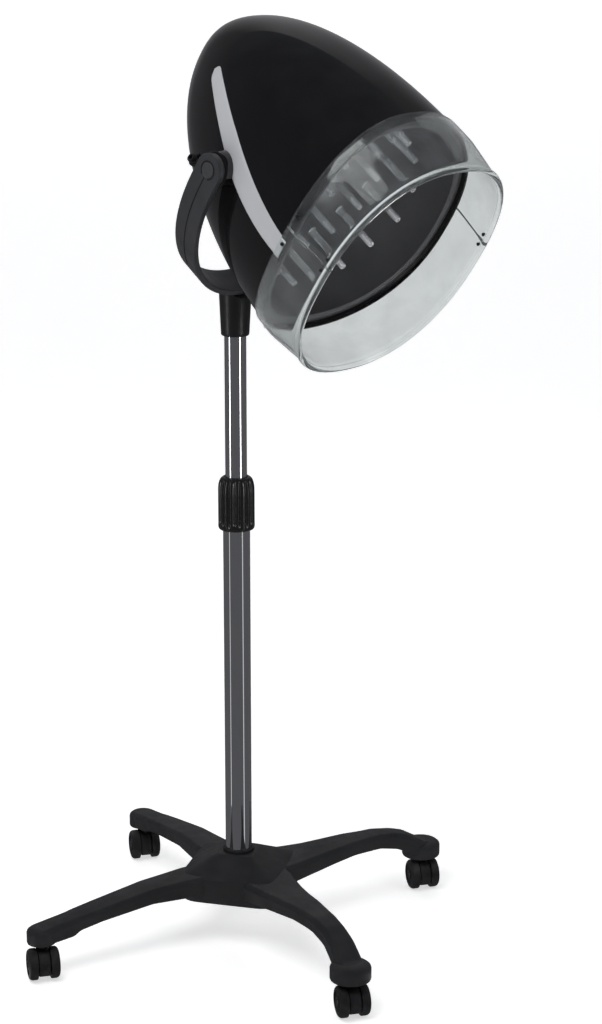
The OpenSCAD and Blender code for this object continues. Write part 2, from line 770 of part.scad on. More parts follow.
// Housing between the two wheels, with a neck that takes the stem.
module caster_fork(i) {
  color("#1e1f21") at_caster(i) difference() {
    union() {
      intersection() {
        translate([0, caster_trail, wheel_r]) rod_x(wheel_r - 2, -fork_half, fork_half);
        translate([-50, -50, fork_foot]) cube(100);
      }
      translate([0, 0, wheel_r]) cylinder(r = fork_half, h = socket_bottom - move_gap - wheel_r);
    }
    translate([0, 0, stem_foot]) cylinder(r = stem_r, h = 40);
    translate([0, caster_trail, wheel_r]) rod_x(axle_r, -30, 30);
  }
}

module caster_stem(i) {
  color("#b4b6b8") at_caster(i) translate([0, 0, stem_foot])
    cylinder(r = stem_r, h = socket_bottom + stem_depth - 3 - stem_foot);
}

module caster_axle(i) {
  end = caster_w / 2 - 1;
  color("#b4b6b8") at_caster(i) translate([0, caster_trail, wheel_r]) rod_x(axle_r, -end, end);
}

// A wheel with a rounded tread and a dished outer face.
module wheel(i, side) {
  w = wheel_w;
  color("#17181a") at_caster(i) translate([0, caster_trail, wheel_r]) mirror([side, 0, 0])
    translate([caster_w / 2 - w, 0, 0]) rotate([0, 90, 0]) rotate_extrude() polygon([[axle_r + run_fit, 0],
      [wheel_r - 1.5, 0], [wheel_r, 1.5], [wheel_r, w - 5], [wheel_r - 1.6, w - 1.8], [wheel_r - 4.5, w],
      [wheel_r - 7, w], [wheel_r - 8, w - 2], [axle_r + 4, w - 2], [axle_r + 3, w], [axle_r + run_fit, w]]);
}

// ---------------------------------------------------------------- what is drawn

base_frame();
foot_plug();
base_bolt();
foot_ring();
lower_pole();
guide_bush();
lock_collet();
lock_grip();
upper_pole();
glide_plug();
yoke_collar();
yoke_band();
pivot_bolts();
pivot_caps();
friction_washers();
pivot_bosses();
hood_shell();
side_trims();
front_visor();
rear_skirt();
skirt_pins();
inner_dome();
air_fingers();
fan_plate();
fan_rotor();
motor_can();
motor_shaft();
heater_frame();
heater_coil();
thermostat();
inlet_grille();
control_panel();
timer_knob();
heat_knob();
power_rocker();
pilot_lens();
cable_gland();
terminal_block();
panel_screws();
caster_fork(0);  // caster_fork_1
caster_stem(0);  // caster_stem_1
caster_axle(0);  // caster_axle_1
wheel(0, 0);  // wheel_1a
wheel(0, 1);  // wheel_1b
caster_fork(1);  // caster_fork_2
caster_stem(1);  // caster_stem_2
caster_axle(1);  // caster_axle_2
wheel(1, 0);  // wheel_2a
wheel(1, 1);  // wheel_2b
caster_fork(2);  // caster_fork_3
caster_stem(2);  // caster_stem_3
caster_axle(2);  // caster_axle_3
wheel(2, 0);  // wheel_3a
wheel(2, 1);  // wheel_3b
caster_fork(3);  // caster_fork_4
caster_stem(3);  // caster_stem_4
caster_axle(3);  // caster_axle_4
wheel(3, 0);  // wheel_4a
wheel(3, 1);  // wheel_4b
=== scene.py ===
# %% [markdown]
# # A salon hood hair dryer on a rolling stand
#
# The CAD model gives the frame: where every body is and how it moves. This script builds the
# surfaces that are seen, gives each a material, and sets up the camera, the floor and the lamps.
# Everything is in metres. The origin is on the floor under the pole, Z is up and the hood faces -Y.

# %%
import json
import math

import bpy
import numpy as np
from mathutils import Matrix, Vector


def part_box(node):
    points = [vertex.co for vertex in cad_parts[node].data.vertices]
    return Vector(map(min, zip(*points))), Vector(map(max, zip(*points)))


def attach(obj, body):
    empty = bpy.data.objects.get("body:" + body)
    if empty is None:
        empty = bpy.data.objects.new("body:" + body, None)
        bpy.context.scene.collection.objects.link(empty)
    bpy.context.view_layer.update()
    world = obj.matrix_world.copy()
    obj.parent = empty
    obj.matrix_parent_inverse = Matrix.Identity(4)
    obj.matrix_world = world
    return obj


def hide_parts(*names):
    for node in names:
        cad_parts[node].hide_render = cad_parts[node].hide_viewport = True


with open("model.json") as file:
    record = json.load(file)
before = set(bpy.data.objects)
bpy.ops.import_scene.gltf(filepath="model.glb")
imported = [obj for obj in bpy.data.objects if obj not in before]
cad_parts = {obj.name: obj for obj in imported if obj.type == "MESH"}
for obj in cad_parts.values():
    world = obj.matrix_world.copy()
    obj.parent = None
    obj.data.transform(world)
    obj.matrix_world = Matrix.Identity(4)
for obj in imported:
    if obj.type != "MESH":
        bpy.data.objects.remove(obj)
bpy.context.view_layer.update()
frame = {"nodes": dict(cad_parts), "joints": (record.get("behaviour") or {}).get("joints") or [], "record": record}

# %% [markdown]
# ## Local frames
#
# The hood and the yoke lean, so their shapes are written upright and then placed. A `Place` holds
# an origin and three axes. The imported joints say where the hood's pivot is and which way its
# axis points.

# %%
JOINTS = {j["name"]: j for j in frame["joints"]}
MM = 0.001


class Place:
    """A frame of reference: origin o, and the directions of its x, y and z axes."""

    def __init__(self, o, x, y, z):
        self.o = np.array(o, float)
        self.m = np.array([x, y, z], float)

    def put(self, points):
        """Points of this frame, in the object's frame."""
        return np.asarray(points, float) @ self.m + self.o

    def at(self, origin, turn=None):
        """A place inside this one: its origin, and optionally its x, y and z axes as rows."""
        axes = np.eye(3) if turn is None else np.asarray(turn, float)
        rows = axes @ self.m
        return Place(self.put(origin), *rows)


def turned(axis, degrees):
    """Rows of the axes of a frame turned about x or z."""
    c, s = math.cos(math.radians(degrees)), math.sin(math.radians(degrees))
    about = {"x": [[1, 0, 0], [0, c, s], [0, -s, c]], "z": [[c, s, 0], [-s, c, 0], [0, 0, 1]]}
    return about[axis]


# The pivot stands PIVOT_D above the hood's opening and PIVOT_REACH above the yoke's lowest point,
# in metres. The yoke leans by LEAN degrees.
PIVOT_D, PIVOT_REACH, LEAN = 0.238, 0.228, 35
pivot = np.array(JOINTS["hood_tilt"]["pos_m"])
up = np.array(JOINTS["fan_spin"]["axis"])
WORLD = Place([0, 0, 0], [1, 0, 0], [0, 1, 0], [0, 0, 1])
HOOD = Place(pivot - PIVOT_D * up, [1, 0, 0], np.cross(up, [1, 0, 0]), up)
lean = turned("x", LEAN)
YOKE = Place(pivot - PIVOT_REACH * np.array(lean[2]), *lean)
print("hood opening's centre:", HOOD.o.round(3), "yoke's lowest point:", YOKE.o.round(3))

# %% [markdown]
# ## Turning grids of points into meshes
#
# Almost every surface here is a grid: a ring of points (a cross-section) repeated along a path.
# `loft` joins neighbouring rings with quads and closes each end on its middle point, so that
# nothing is left open. `solid` collects one or more lofts into one Blender object, and turns the
# faces outwards by the sign of the enclosed volume.

# %%
TAU = 2 * math.pi


def loft(rings, loop=False):
    """Vertices, quads and triangles over rings shaped (m, n, 3).

    Ring i is joined to ring i + 1 all the way round. With loop=True the last ring joins the
    first. Otherwise each end is a fan of triangles to the end ring's mean point.
    """
    rings = np.asarray(rings, float)
    m, n, _ = rings.shape
    i = np.arange(m if loop else m - 1)[:, None]
    j = np.arange(n)[None, :]
    k = (j + 1) % n
    nxt = (i + 1) % m
    quads = np.stack([i * n + j, i * n + k, nxt * n + k, nxt * n + j], -1).reshape(-1, 4)
    verts = rings.reshape(-1, 3)
    tris = np.zeros((0, 3), int)
    if not loop:
        c = len(verts)
        verts = np.vstack([verts, rings[0].mean(0), rings[-1].mean(0)])
        j, k = j[0], k[0]
        last = (m - 1) * n
        first_fan = np.stack([k, j, np.full(n, c)], 1)
        last_fan = np.stack([last + j, last + k, np.full(n, c + 1)], 1)
        tris = np.vstack([first_fan, last_fan])
    fan = np.vstack([np.stack([quads[:, 0], quads[:, a], quads[:, a + 1]], 1) for a in (1, 2)])
    t = np.vstack([fan, tris])
    p, q, r = verts[t[:, 0]], verts[t[:, 1]], verts[t[:, 2]]
    if np.einsum("ij,ij->i", p, np.cross(q, r)).sum() < 0:
        quads, tris = quads[:, ::-1], tris[:, ::-1]
    return verts, quads, tris


def solid(name, lofts, material, body, replaces=(), crease=35):
    """One mesh object from a list of lofts: material, riding body, and the CAD nodes it stands for.

    Edges that bend by more than crease degrees stay sharp.
    """
    verts, quads, tris, base = [], [], [], 0
    for v, q, t in lofts:
        verts.append(v)
        quads.append(q + base)
        tris.append(t + base)
        base += len(v)
    verts, quads, tris = np.vstack(verts), np.vstack(quads), np.vstack(tris)
    mesh = bpy.data.meshes.new(name)
    mesh.vertices.add(len(verts))
    mesh.vertices.foreach_set("co", verts.astype(np.float32).ravel())
    corners = np.concatenate([quads.ravel(), tris.ravel()]).astype(np.int32)
    mesh.loops.add(len(corners))
    mesh.loops.foreach_set("vertex_index", corners)
    starts = np.concatenate([
        np.arange(len(quads)) * 4,
        4 * len(quads) + np.arange(len(tris)) * 3,
    ]).astype(np.int32)
    mesh.polygons.add(len(starts))
    mesh.polygons.foreach_set("loop_start", starts)
    mesh.polygons.foreach_set("use_smooth", np.ones(len(starts), bool))
    mesh.update(calc_edges=True)
    mesh.set_sharp_from_angle(angle=math.radians(crease))
    obj = bpy.data.objects.new(name, mesh)
    bpy.context.scene.collection.objects.link(obj)
    mesh.materials.append(material)
    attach(obj, body)
    if replaces:
        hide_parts(*replaces)
    return obj


def circle(n):
    """n angles round a circle."""
    return np.arange(n) * TAU / n


def placed(place, rings):
    """Rings of a local frame, placed."""
    rings = np.asarray(rings, float)
    return place.put(rings.reshape(-1, 3)).reshape(rings.shape)


def lathe(place, profile, n=96, loop=False, flute=None):
    """A turned surface: profile is (radius, height) pairs, turned about the place's z axis.

    flute, if given, is a function of (radius, height, angle) that returns the fluted radius.
    """
    profile = np.asarray(profile, float)
    r, z, a = profile[:, 0][:, None], profile[:, 1][:, None], circle(n)[None, :]
    r = r + 0 * a if flute is None else flute(r, z, a)
    rings = np.stack([r * np.cos(a), r * np.sin(a), z + 0 * a], -1)
    return loft(placed(place, rings), loop)


def rounded(points, radius, steps=6):
    """A closed 2D outline with each corner rounded.

    Corner c becomes a quadratic curve from c + r·(a - c) to c + r·(b - c), where a and b are its
    neighbours and r is radius over the side's length, at most 0.45.
    """
    pts = np.asarray(points, float)
    out = []
    for i in range(len(pts)):
        a, c, b = pts[i - 1], pts[i], pts[(i + 1) % len(pts)]
        p = c + (a - c) * min(0.45, radius / max(1e-9, np.linalg.norm(a - c)))
        q = c + (b - c) * min(0.45, radius / max(1e-9, np.linalg.norm(b - c)))
        for t in np.linspace(0, 1, steps):
            out.append((1 - t) ** 2 * p + 2 * t * (1 - t) * c + t * t * q)
    return np.array(out)


def tube_along(path, radius, n, up_hint):
    """A round rod along a path: each ring is path + radius·(cos a·u + sin a·v)."""
    path = np.asarray(path, float)
    along = np.gradient(path, axis=0)
    along /= np.linalg.norm(along, axis=1)[:, None]
    u = np.cross(along, np.asarray(up_hint, float))
    u /= np.maximum(1e-9, np.linalg.norm(u, axis=1))[:, None]
    v = np.cross(along, u)
    a = circle(n)[None, :, None]
    return loft(path[:, None] + radius * (np.cos(a) * u[:, None] + np.sin(a) * v[:, None]))


print("mesh helpers ready")

# %% [markdown]
# ## Shared shader effects
#
# Each effect is a node group that gives back a mask, a value or a normal, so that any material
# can use it. They all read Object coordinates, which for these objects are metres in the
# object's own frame: a scale of 1000 gives features about a millimetre across.

# %%


def node(tree, kind, inputs=None, **props):
    """A new node: props set its attributes, inputs set or link its sockets by name or number."""
    made = tree.nodes.new(kind)
    for key, value in props.items():
        setattr(made, key, value)
    for key, value in (inputs or {}).items():
        if isinstance(value, bpy.types.NodeSocket):
            tree.links.new(value, made.inputs[key])
        else:
            made.inputs[key].default_value = value
    return made


def group(name, inputs, outputs, build):
    """A shader node group. build(tree, inputs by name) returns its outputs by name."""
    tree = bpy.data.node_groups.new(name, "ShaderNodeTree")
    for key, value in inputs.items():
        kind = "NodeSocketColor" if isinstance(value, tuple) else "NodeSocketFloat"
        tree.interface.new_socket(key, in_out="INPUT", socket_type=kind).default_value = value
    for key, kind in outputs.items():
        tree.interface.new_socket(key, in_out="OUTPUT", socket_type=kind)
    source, sink = tree.nodes.new("NodeGroupInput"), tree.nodes.new("NodeGroupOutput")
    for key, socket in build(tree, {k: source.outputs[k] for k in inputs}).items():
        tree.links.new(socket, sink.inputs[key])
    return tree


def math_node(tree, operation, a, b=0.0, c=0.0, clamp=False):
    """The result of one sum. Only MULTIPLY_ADD, which is a·b + c, has a use for c."""
    return node(tree, "ShaderNodeMath", {0: a, 1: b, 2: c},
                operation=operation, use_clamp=clamp).outputs[0]


def times(tree, a, b):
    """The product of two values."""
    return math_node(tree, "MULTIPLY", a, b)


def object_point(tree):
    """Where a point lies, in its object's own frame."""
    return tree.nodes.new("ShaderNodeTexCoord").outputs["Object"]


def noise(tree, at, scale, detail, distortion=0.0):
    """A cloudy value between about 0.3 and 0.7."""
    return node(tree, "ShaderNodeTexNoise", {
        "Vector": at, "Scale": scale, "Detail": detail, "Distortion": distortion}).outputs[0]


def cells(tree, at, scale, feature="F1"):
    """Distance to the middle of the nearest cell."""
    return node(tree, "ShaderNodeTexVoronoi", {"Vector": at, "Scale": scale},
                feature=feature).outputs["Distance"]


def stretch(tree, vector, scale, turn=(0, 0, 0)):
    """The vector turned and then scaled along each axis."""
    mapped = node(tree, "ShaderNodeMapping", {"Vector": vector, "Rotation": turn})
    return node(tree, "ShaderNodeVectorMath", {0: mapped.outputs[0], 1: scale},
                operation="MULTIPLY").outputs[0]


def remap(tree, value, a, b, c=0.0, d=1.0):
    """Value from the range a to b, moved to the range c to d and held there."""
    return node(tree, "ShaderNodeMapRange",
                {"Value": value, 1: a, 2: b, 3: c, 4: d}, clamp=True).outputs[0]


def build_grain(tree, i):
    """Moulded or cast grain: fine noise on top of small rounded cells."""
    at = object_point(tree)
    height = math_node(tree, "ADD", noise(tree, at, i["Scale"], 3.0),
                       cells(tree, at, i["Scale"], "SMOOTH_F1"))
    bump = node(tree, "ShaderNodeBump",
                {"Height": height, "Strength": i["Strength"], "Distance": i["Depth"]})
    return {"Normal": bump.outputs[0]}


def build_handling(tree, i):
    """Smudges and wiping marks: broad soft noise crossed with faint streaks."""
    at = object_point(tree)
    broad = noise(tree, at, i["Scale"], 4.0, 0.6)
    streak = noise(tree, stretch(tree, at, (60, 60, 9), (0.4, 0.2, 0.7)), 1.0, 5.0)
    return {"Mask": remap(tree, times(tree, broad, streak), 0.18, 0.42)}


def build_hairlines(tree, i):
    """Hairline scratches in two directions: thin peaks of strongly stretched noise."""
    at = object_point(tree)
    masks = []
    for turn, scale in (((0.3, 0.9, 0.4), (1500, 30, 30)), ((1.1, 0.2, 1.9), (30, 1300, 24))):
        peaks = noise(tree, stretch(tree, at, scale, turn), 1.0, 1.0)
        masks.append(remap(tree, peaks, 0.70, 0.76))
    lines = math_node(tree, "MAXIMUM", *masks)
    shown = times(tree, lines, remap(tree, noise(tree, at, 14.0, 2.0), 0.45, 0.65))
    return {"Mask": times(tree, shown, i["Amount"])}


def build_dust(tree, i):
    """Fine dust that has settled on what faces up, in uneven patches with single specks."""
    at = object_point(tree)
    facing = tree.nodes.new("ShaderNodeTexCoord").outputs["Normal"]
    upward = node(tree, "ShaderNodeSeparateXYZ", {0: facing}).outputs[2]
    speck = remap(tree, cells(tree, at, 260.0), 0.16, 0.05)
    laid = times(tree, remap(tree, upward, 0.25, 1.0),
                 remap(tree, noise(tree, at, 22.0, 5.0), 0.35, 0.75))
    spread = math_node(tree, "MULTIPLY_ADD", speck, laid, laid)
    return {"Mask": math_node(tree, "MULTIPLY", spread, i["Amount"], clamp=True)}


def build_edge_wear(tree, i):
    """Rubbed edges: where the surface bends outwards, broken up by noise."""
    bend = tree.nodes.new("ShaderNodeNewGeometry").outputs["Pointiness"]
    broken = noise(tree, object_point(tree), 90.0, 4.0)
    worn = times(tree, remap(tree, bend, 0.515, 0.60), remap(tree, broken, 0.35, 0.7))
    return {"Mask": math_node(tree, "MULTIPLY", worn, i["Amount"], clamp=True)}


MASK = {"Mask": "NodeSocketFloat"}
GRAIN = group("Moulded grain", {"Scale": 900.0, "Strength": 0.5, "Depth": 0.0002},
              {"Normal": "NodeSocketVector"}, build_grain)
HANDLING = group("Handling marks", {"Scale": 7.0}, MASK, build_handling)
HAIRLINES = group("Hairline scratches", {"Amount": 1.0}, MASK, build_hairlines)
DUST = group("Settled dust", {"Amount": 0.2}, MASK, build_dust)
EDGE_WEAR = group("Edge wear", {"Amount": 0.5}, MASK, build_edge_wear)
print("node groups:", ", ".join(g.name for g in bpy.data.node_groups))

# %% [markdown]
# ## Materials
#
# `finish` makes one material. The base colour drifts a little from place to place, worn edges
# and dust are mixed over it, and marks from handling change the roughness. The numbers that
# differ from one material to the next are its arguments.

# %%


def use(tree, shared, **values):
    """A shared effect placed in a material."""
    made = tree.nodes.new("ShaderNodeGroup")
    made.node_tree = shared
    for key, value in values.items():
        made.inputs[key].default_value = value
    return made.outputs


def mix(tree, factor, a, b):
    """Colour a towards colour b."""
    made = node(tree, "ShaderNodeMix", {0: factor}, data_type="RGBA")
    for slot_number, value in ((6, a), (7, b)):
        if isinstance(value, bpy.types.NodeSocket):
            tree.links.new(value, made.inputs[slot_number])
        else:
            made.inputs[slot_number].default_value = (*value, 1.0)
    return made.outputs[2]


def blank(name):
    """A new material with nothing in it yet, and its node tree."""
    material = bpy.data.materials.new(name)
    material.use_nodes = True
    material.node_tree.nodes.clear()
    return material, material.node_tree


def show(tree, shader):
    """Make a shader the material's surface."""
    sink = tree.nodes.new("ShaderNodeOutputMaterial")
    tree.links.new(shader, sink.inputs[0])


def see_through(tree, shader, at, lines, haze, rim):
    """A clear part's shader with wear that scatters a little light, a painted edge line, and a lighter shadow."""
    # The wear lies in clouds and along wiping marks.
    cloud = remap(tree, noise(tree, at, 24.0, 5.0), 0.38, 0.66, 0.35, 1.0)
    haze_and_painted_edge = math_node(tree, "MULTIPLY_ADD", lines, 0.08, times(tree, cloud, haze), clamp=True)
    # Painted edge line: where the surface turns edge-on to the camera the colour rim is mixed in, a painted
    # highlight on the pegs and a painted grey outline on the sheets.
    facing = node(tree, "ShaderNodeLayerWeight", {"Blend": 0.5}).outputs["Facing"]
    outline = times(tree, remap(tree, facing, 0.72, 0.98), 0.6)
    haze_and_painted_edge = math_node(tree, "MAXIMUM", haze_and_painted_edge, outline)
    # The diffuse colour rim serves both the cloudy haze and the painted edge line.
    haze_and_edge_diffuse = node(tree, "ShaderNodeBsdfDiffuse", {"Color": (*rim, 1.0)}).outputs[0]
    # worn is the clear shader under its real haze and its painted edge line.
    worn = node(tree, "ShaderNodeMixShader", {0: haze_and_painted_edge, 1: shader, 2: haze_and_edge_diffuse}).outputs[0]
    # A clear part would block all light in its shadow, so shadow rays see a thin tint instead.
    ray = tree.nodes.new("ShaderNodeLightPath").outputs["Is Shadow Ray"]
    tint = node(tree, "ShaderNodeBsdfTransparent", {"Color": (0.86, 0.87, 0.88, 1.0)}).outputs[0]
    return node(tree, "ShaderNodeMixShader", {0: ray, 1: worn, 2: tint}).outputs[0]


# On clear parts, rim colours their haze and their painted edge line.
def finish(name, colour, rough, metal=0.0, grain=(900.0, 0.0002, 0.5), drift=0.15, dust=0.12,
           wear=0.3, worn=None, smudge=0.12, scratch=0.5, coat=0.0, sheen=0.0, ior=1.5,
           clear=0.0, haze=0.0, rim=(0.45, 0.46, 0.48)):
    """A material with drift of colour, grain, handling marks, scratches, wear and dust."""
    material, tree = blank(name)
    colour = np.array(colour, float)
    at = object_point(tree)
    slow = remap(tree, noise(tree, at, 9.0, 4.0), 0.35, 0.65)
    base = mix(tree, slow, colour * (1 - drift), colour * (1 + drift))
    edge = use(tree, EDGE_WEAR, Amount=wear)[0]
    base = mix(tree, edge, base, colour * 2.2 + 0.03 if worn is None else worn)
    lines = use(tree, HAIRLINES, Amount=scratch)[0]
    base = mix(tree, times(tree, lines, 0.25), base, colour + 0.10)
    settled = use(tree, DUST, Amount=dust)[0]
    base = mix(tree, settled, base, (0.30, 0.29, 0.27))
    marks = use(tree, HANDLING, Scale=7.0)[0]
    roughness = math_node(tree, "MULTIPLY_ADD", marks, smudge, rough)
    roughness = math_node(tree, "MULTIPLY_ADD", lines, 0.2, roughness)
    roughness = math_node(tree, "MULTIPLY_ADD", settled, 0.5, roughness, clamp=True)
    skin = use(tree, GRAIN, Scale=grain[0], Depth=grain[1], Strength=grain[2])
    shader = node(tree, "ShaderNodeBsdfPrincipled", {
        "Base Color": base, "Roughness": roughness, "Metallic": metal, "IOR": ior,
        "Coat Weight": coat, "Coat Roughness": 0.04, "Sheen Weight": sheen,
        "Transmission Weight": clear, "Normal": skin["Normal"],
    }).outputs[0]
    show(tree, see_through(tree, shader, at, lines, haze, rim) if clear else shader)
    return material


def chrome(name):
    """Polished chrome plate with faint lines from drawing the tube, small pits and wiping marks."""
    material, tree = blank(name)
    at = object_point(tree)
    drawn = noise(tree, stretch(tree, at, (900, 900, 5)), 1.0, 2.0)
    pit = times(tree, remap(tree, cells(tree, at, 420.0), 0.12, 0.04),
                remap(tree, noise(tree, at, 30.0, 3.0), 0.56, 0.66))
    marks = use(tree, HANDLING, Scale=11.0)[0]
    lines = use(tree, HAIRLINES, Amount=0.5)[0]
    colour = mix(tree, remap(tree, marks, 0, 1, 0, 0.35), (0.83, 0.84, 0.86), (0.70, 0.71, 0.74))
    colour = mix(tree, pit, colour, (0.25, 0.24, 0.23))
    rough = math_node(tree, "MULTIPLY_ADD", marks, 0.05, 0.045)
    rough = math_node(tree, "MULTIPLY_ADD", lines, 0.12, rough, clamp=True)
    rough = math_node(tree, "MULTIPLY_ADD", pit, 0.3, rough, clamp=True)
    height = math_node(tree, "SUBTRACT", drawn, pit)
    bump = node(tree, "ShaderNodeBump", {"Height": height, "Strength": 0.05, "Distance": 0.0001})
    shader = node(tree, "ShaderNodeBsdfPrincipled", {
        "Base Color": colour, "Metallic": 1.0, "Roughness": rough, "Normal": bump.outputs[0]})
    show(tree, shader.outputs[0])
    return material


# Grain as (scale, depth in metres, strength).
PEEL = (55.0, 0.0002, 0.05)
SMOOTH = (300.0, 0.0001, 0.06)
M = {
    "gloss_black": finish("Glossy black moulding", (0.004, 0.0035, 0.004), 0.05, grain=PEEL,
                          dust=0.02, wear=0.05, smudge=0.05, scratch=0.25, coat=0.6),
    "silver_trim": finish("Silver coated stripe", (0.66, 0.67, 0.69), 0.34, metal=0.25,
                          grain=(1400.0, 0.0001, 0.08), drift=0.04, dust=0.02, wear=0.15,
                          worn=(0.75, 0.76, 0.78), smudge=0.14, coat=0.3),
    "clear": finish("Clear polished sheet", (0.66, 0.69, 0.685), 0.02, grain=(40.0, 0.0002, 0.006),
                    drift=0.01, dust=0.0, wear=0.0, smudge=0.07, scratch=0.3, ior=1.49, clear=1.0,
                    haze=0.07),
    # The pegs' near-white rim gives them a painted edge highlight.
    "finger": finish("Clear moulded pegs", (0.95, 0.96, 0.97), 0.03, grain=SMOOTH, drift=0.01,
                     dust=0.0, wear=0.0, smudge=0.08, scratch=0.3, ior=1.49, clear=1.0,
                     haze=0.22, rim=(0.95, 0.96, 0.98)),
    "liner": finish("Satin dark lining", (0.030, 0.030, 0.032), 0.32, grain=(1200.0, 0.0002, 0.15),
                    dust=0.04, wear=0.1, smudge=0.15),
    "yoke": finish("Satin grey enamel on metal", (0.062, 0.064, 0.069), 0.36, metal=0.35,
                   grain=(1500.0, 0.00015, 0.2), dust=0.08, wear=0.5, worn=(0.22, 0.22, 0.23),
                   smudge=0.10, scratch=0.6, coat=0.1),
    # Painted shade: the groove's line is near-black, as the groove's hollow would be in shadow.
    "painted_groove_shade": finish("Painted shade of the groove", (0.012, 0.012, 0.013), 0.7, dust=0.15, wear=0.0),
    "cap": finish("Grey bolt cover", (0.085, 0.087, 0.092), 0.33, metal=0.4,
                  grain=(1300.0, 0.00015, 0.15), dust=0.05, wear=0.5, worn=(0.26, 0.26, 0.27)),
    "collar": finish("Half-gloss black collar", (0.008, 0.008, 0.009), 0.30,
                     grain=(1100.0, 0.0002, 0.2), dust=0.06, wear=0.35, smudge=0.14),
    "grip": finish("Glossy ribbed grip", (0.006, 0.0055, 0.006), 0.16, grain=(500.0, 0.0001, 0.12),
                   dust=0.04, wear=0.35, coat=0.3),
    "chrome": chrome("Chrome-plated tube"),
    "base": finish("Charcoal moulded base", (0.021, 0.021, 0.023), 0.38,
                   grain=(1000.0, 0.0004, 0.45),
                   drift=0.2, dust=0.05, wear=0.35, worn=(0.05, 0.05, 0.053), smudge=0.14),
    "black": finish("Plain black moulding", (0.012, 0.012, 0.013), 0.42,
                    grain=(1200.0, 0.0003, 0.3), dust=0.1, wear=0.35),
    "caster": finish("Black caster housing", (0.011, 0.011, 0.012), 0.34,
                     grain=(1300.0, 0.0002, 0.25), dust=0.12, wear=0.5, smudge=0.15),
    "wheel": finish("Worn wheel nylon", (0.010, 0.010, 0.011), 0.38, grain=(800.0, 0.0004, 0.4),
                    drift=0.3, dust=0.25, wear=0.5, worn=(0.10, 0.10, 0.10), smudge=0.2,
                    scratch=1.0),
    "zinc": finish("Bright zinc plate", (0.55, 0.55, 0.56), 0.28, metal=1.0,
                   grain=(700.0, 0.0001, 0.15), drift=0.08, dust=0.05, smudge=0.15),
    "sheet": finish("Galvanised sheet", (0.46, 0.47, 0.48), 0.42, metal=0.9,
                    grain=(90.0, 0.0002, 0.15), drift=0.2, dust=0.1),
    "fibre": finish("Pressed fibre", (0.035, 0.032, 0.030), 0.8, grain=(900.0, 0.0004, 0.6)),
    "fan": finish("Filled nylon fan", (0.05, 0.07, 0.09), 0.5, grain=(900.0, 0.0002, 0.3)),
    "mica": finish("Layered mica", (0.55, 0.47, 0.31), 0.4, grain=(120.0, 0.0004, 0.4), drift=0.3),
    "wire": finish("Oxidised heating wire", (0.34, 0.18, 0.09), 0.45, metal=1.0, drift=0.4),
    "ceramic": finish("Glazed white ceramic", (0.74, 0.72, 0.66), 0.2, grain=SMOOTH, coat=0.4),
    "panel": finish("Fine-textured control panel", (0.014, 0.014, 0.016), 0.42,
                    grain=(1400.0, 0.0003, 0.4), dust=0.05, wear=0.3),
    "knob": finish("Soft-gloss knob", (0.024, 0.025, 0.028), 0.3, grain=(900.0, 0.0002, 0.2),
                   wear=0.5, dust=0.05),
    "mark": finish("Printed light mark", (0.62, 0.62, 0.60), 0.5, drift=0.05, wear=0.0, dust=0.05),
    "rocker": finish("Red rocker", (0.36, 0.015, 0.012), 0.22, grain=SMOOTH, coat=0.3, wear=0.1),
    "lens": finish("Amber lens", (0.85, 0.30, 0.05), 0.15, grain=SMOOTH, coat=0.4, wear=0.0),
    "rubber": finish("Moulded rubber", (0.010, 0.010, 0.011), 0.6, grain=(800.0, 0.0003, 0.4),
                     sheen=0.1, dust=0.1),
    "pin": finish("Dark pin", (0.010, 0.010, 0.011), 0.35, grain=SMOOTH, dust=0.03),
}
print("materials:", len(M))

# %% [markdown]
# ## Camera, floor and lamps
#
# A pale floor curves up into a backdrop. A large soft lamp above and a weaker one on the right
# light everything, and aren't seen in reflections. Two tall strips draw the light lines down the
# tubes, the grip and the collar, and light nothing else. A lamp below the hood's mouth lights the
# bowl and its fingers. Mirror-like parts see a painted reflection instead of the paper: a dim room
# with two light bands, which the floor gives off only to glossy rays.

# %%
scene = bpy.context.scene
CAMERA_AZ = math.radians(-45)
CAMERA_AT = (-2.4154, -2.5498, 1.610)
CAMERA_LOOKS = (0.6827, 0.6827, -0.2603)
lens = bpy.data.cameras.new("camera")
lens.lens, lens.sensor_width, lens.sensor_fit = 86.84, 36.0, "AUTO"
camera = bpy.data.objects.new("camera", lens)
scene.collection.objects.link(camera)


def aim(obj, at, direction):
    """Stand obj at a point, looking along a direction with its top up."""
    z = -np.array(direction, float) / np.linalg.norm(direction)
    x = np.cross([0, 0, 1], z)
    x /= np.linalg.norm(x)
    y = np.cross(z, x)
    rows = [[*row, p] for row, p in zip(np.stack([x, y, z], 1), at)]
    obj.matrix_world = Matrix([*rows, [0, 0, 0, 1]])


aim(camera, CAMERA_AT, CAMERA_LOOKS)
scene.camera = camera


def lamp(name, at, target, size, power):
    """A soft rectangular lamp of size (width, height) metres, with its power in watts."""
    data = bpy.data.lights.new(name, "AREA")
    data.shape, data.size, data.size_y = "RECTANGLE", *size
    data.energy = power
    obj = bpy.data.objects.new(name, data)
    scene.collection.objects.link(obj)
    aim(obj, at, np.subtract(target, at))
    return obj


def around(degrees, distance, height):
    """A point round the object, by its angle from the camera's direction, positive to the right."""
    a = CAMERA_AZ + math.radians(degrees)
    return [math.sin(a) * distance, -math.cos(a) * distance, height]


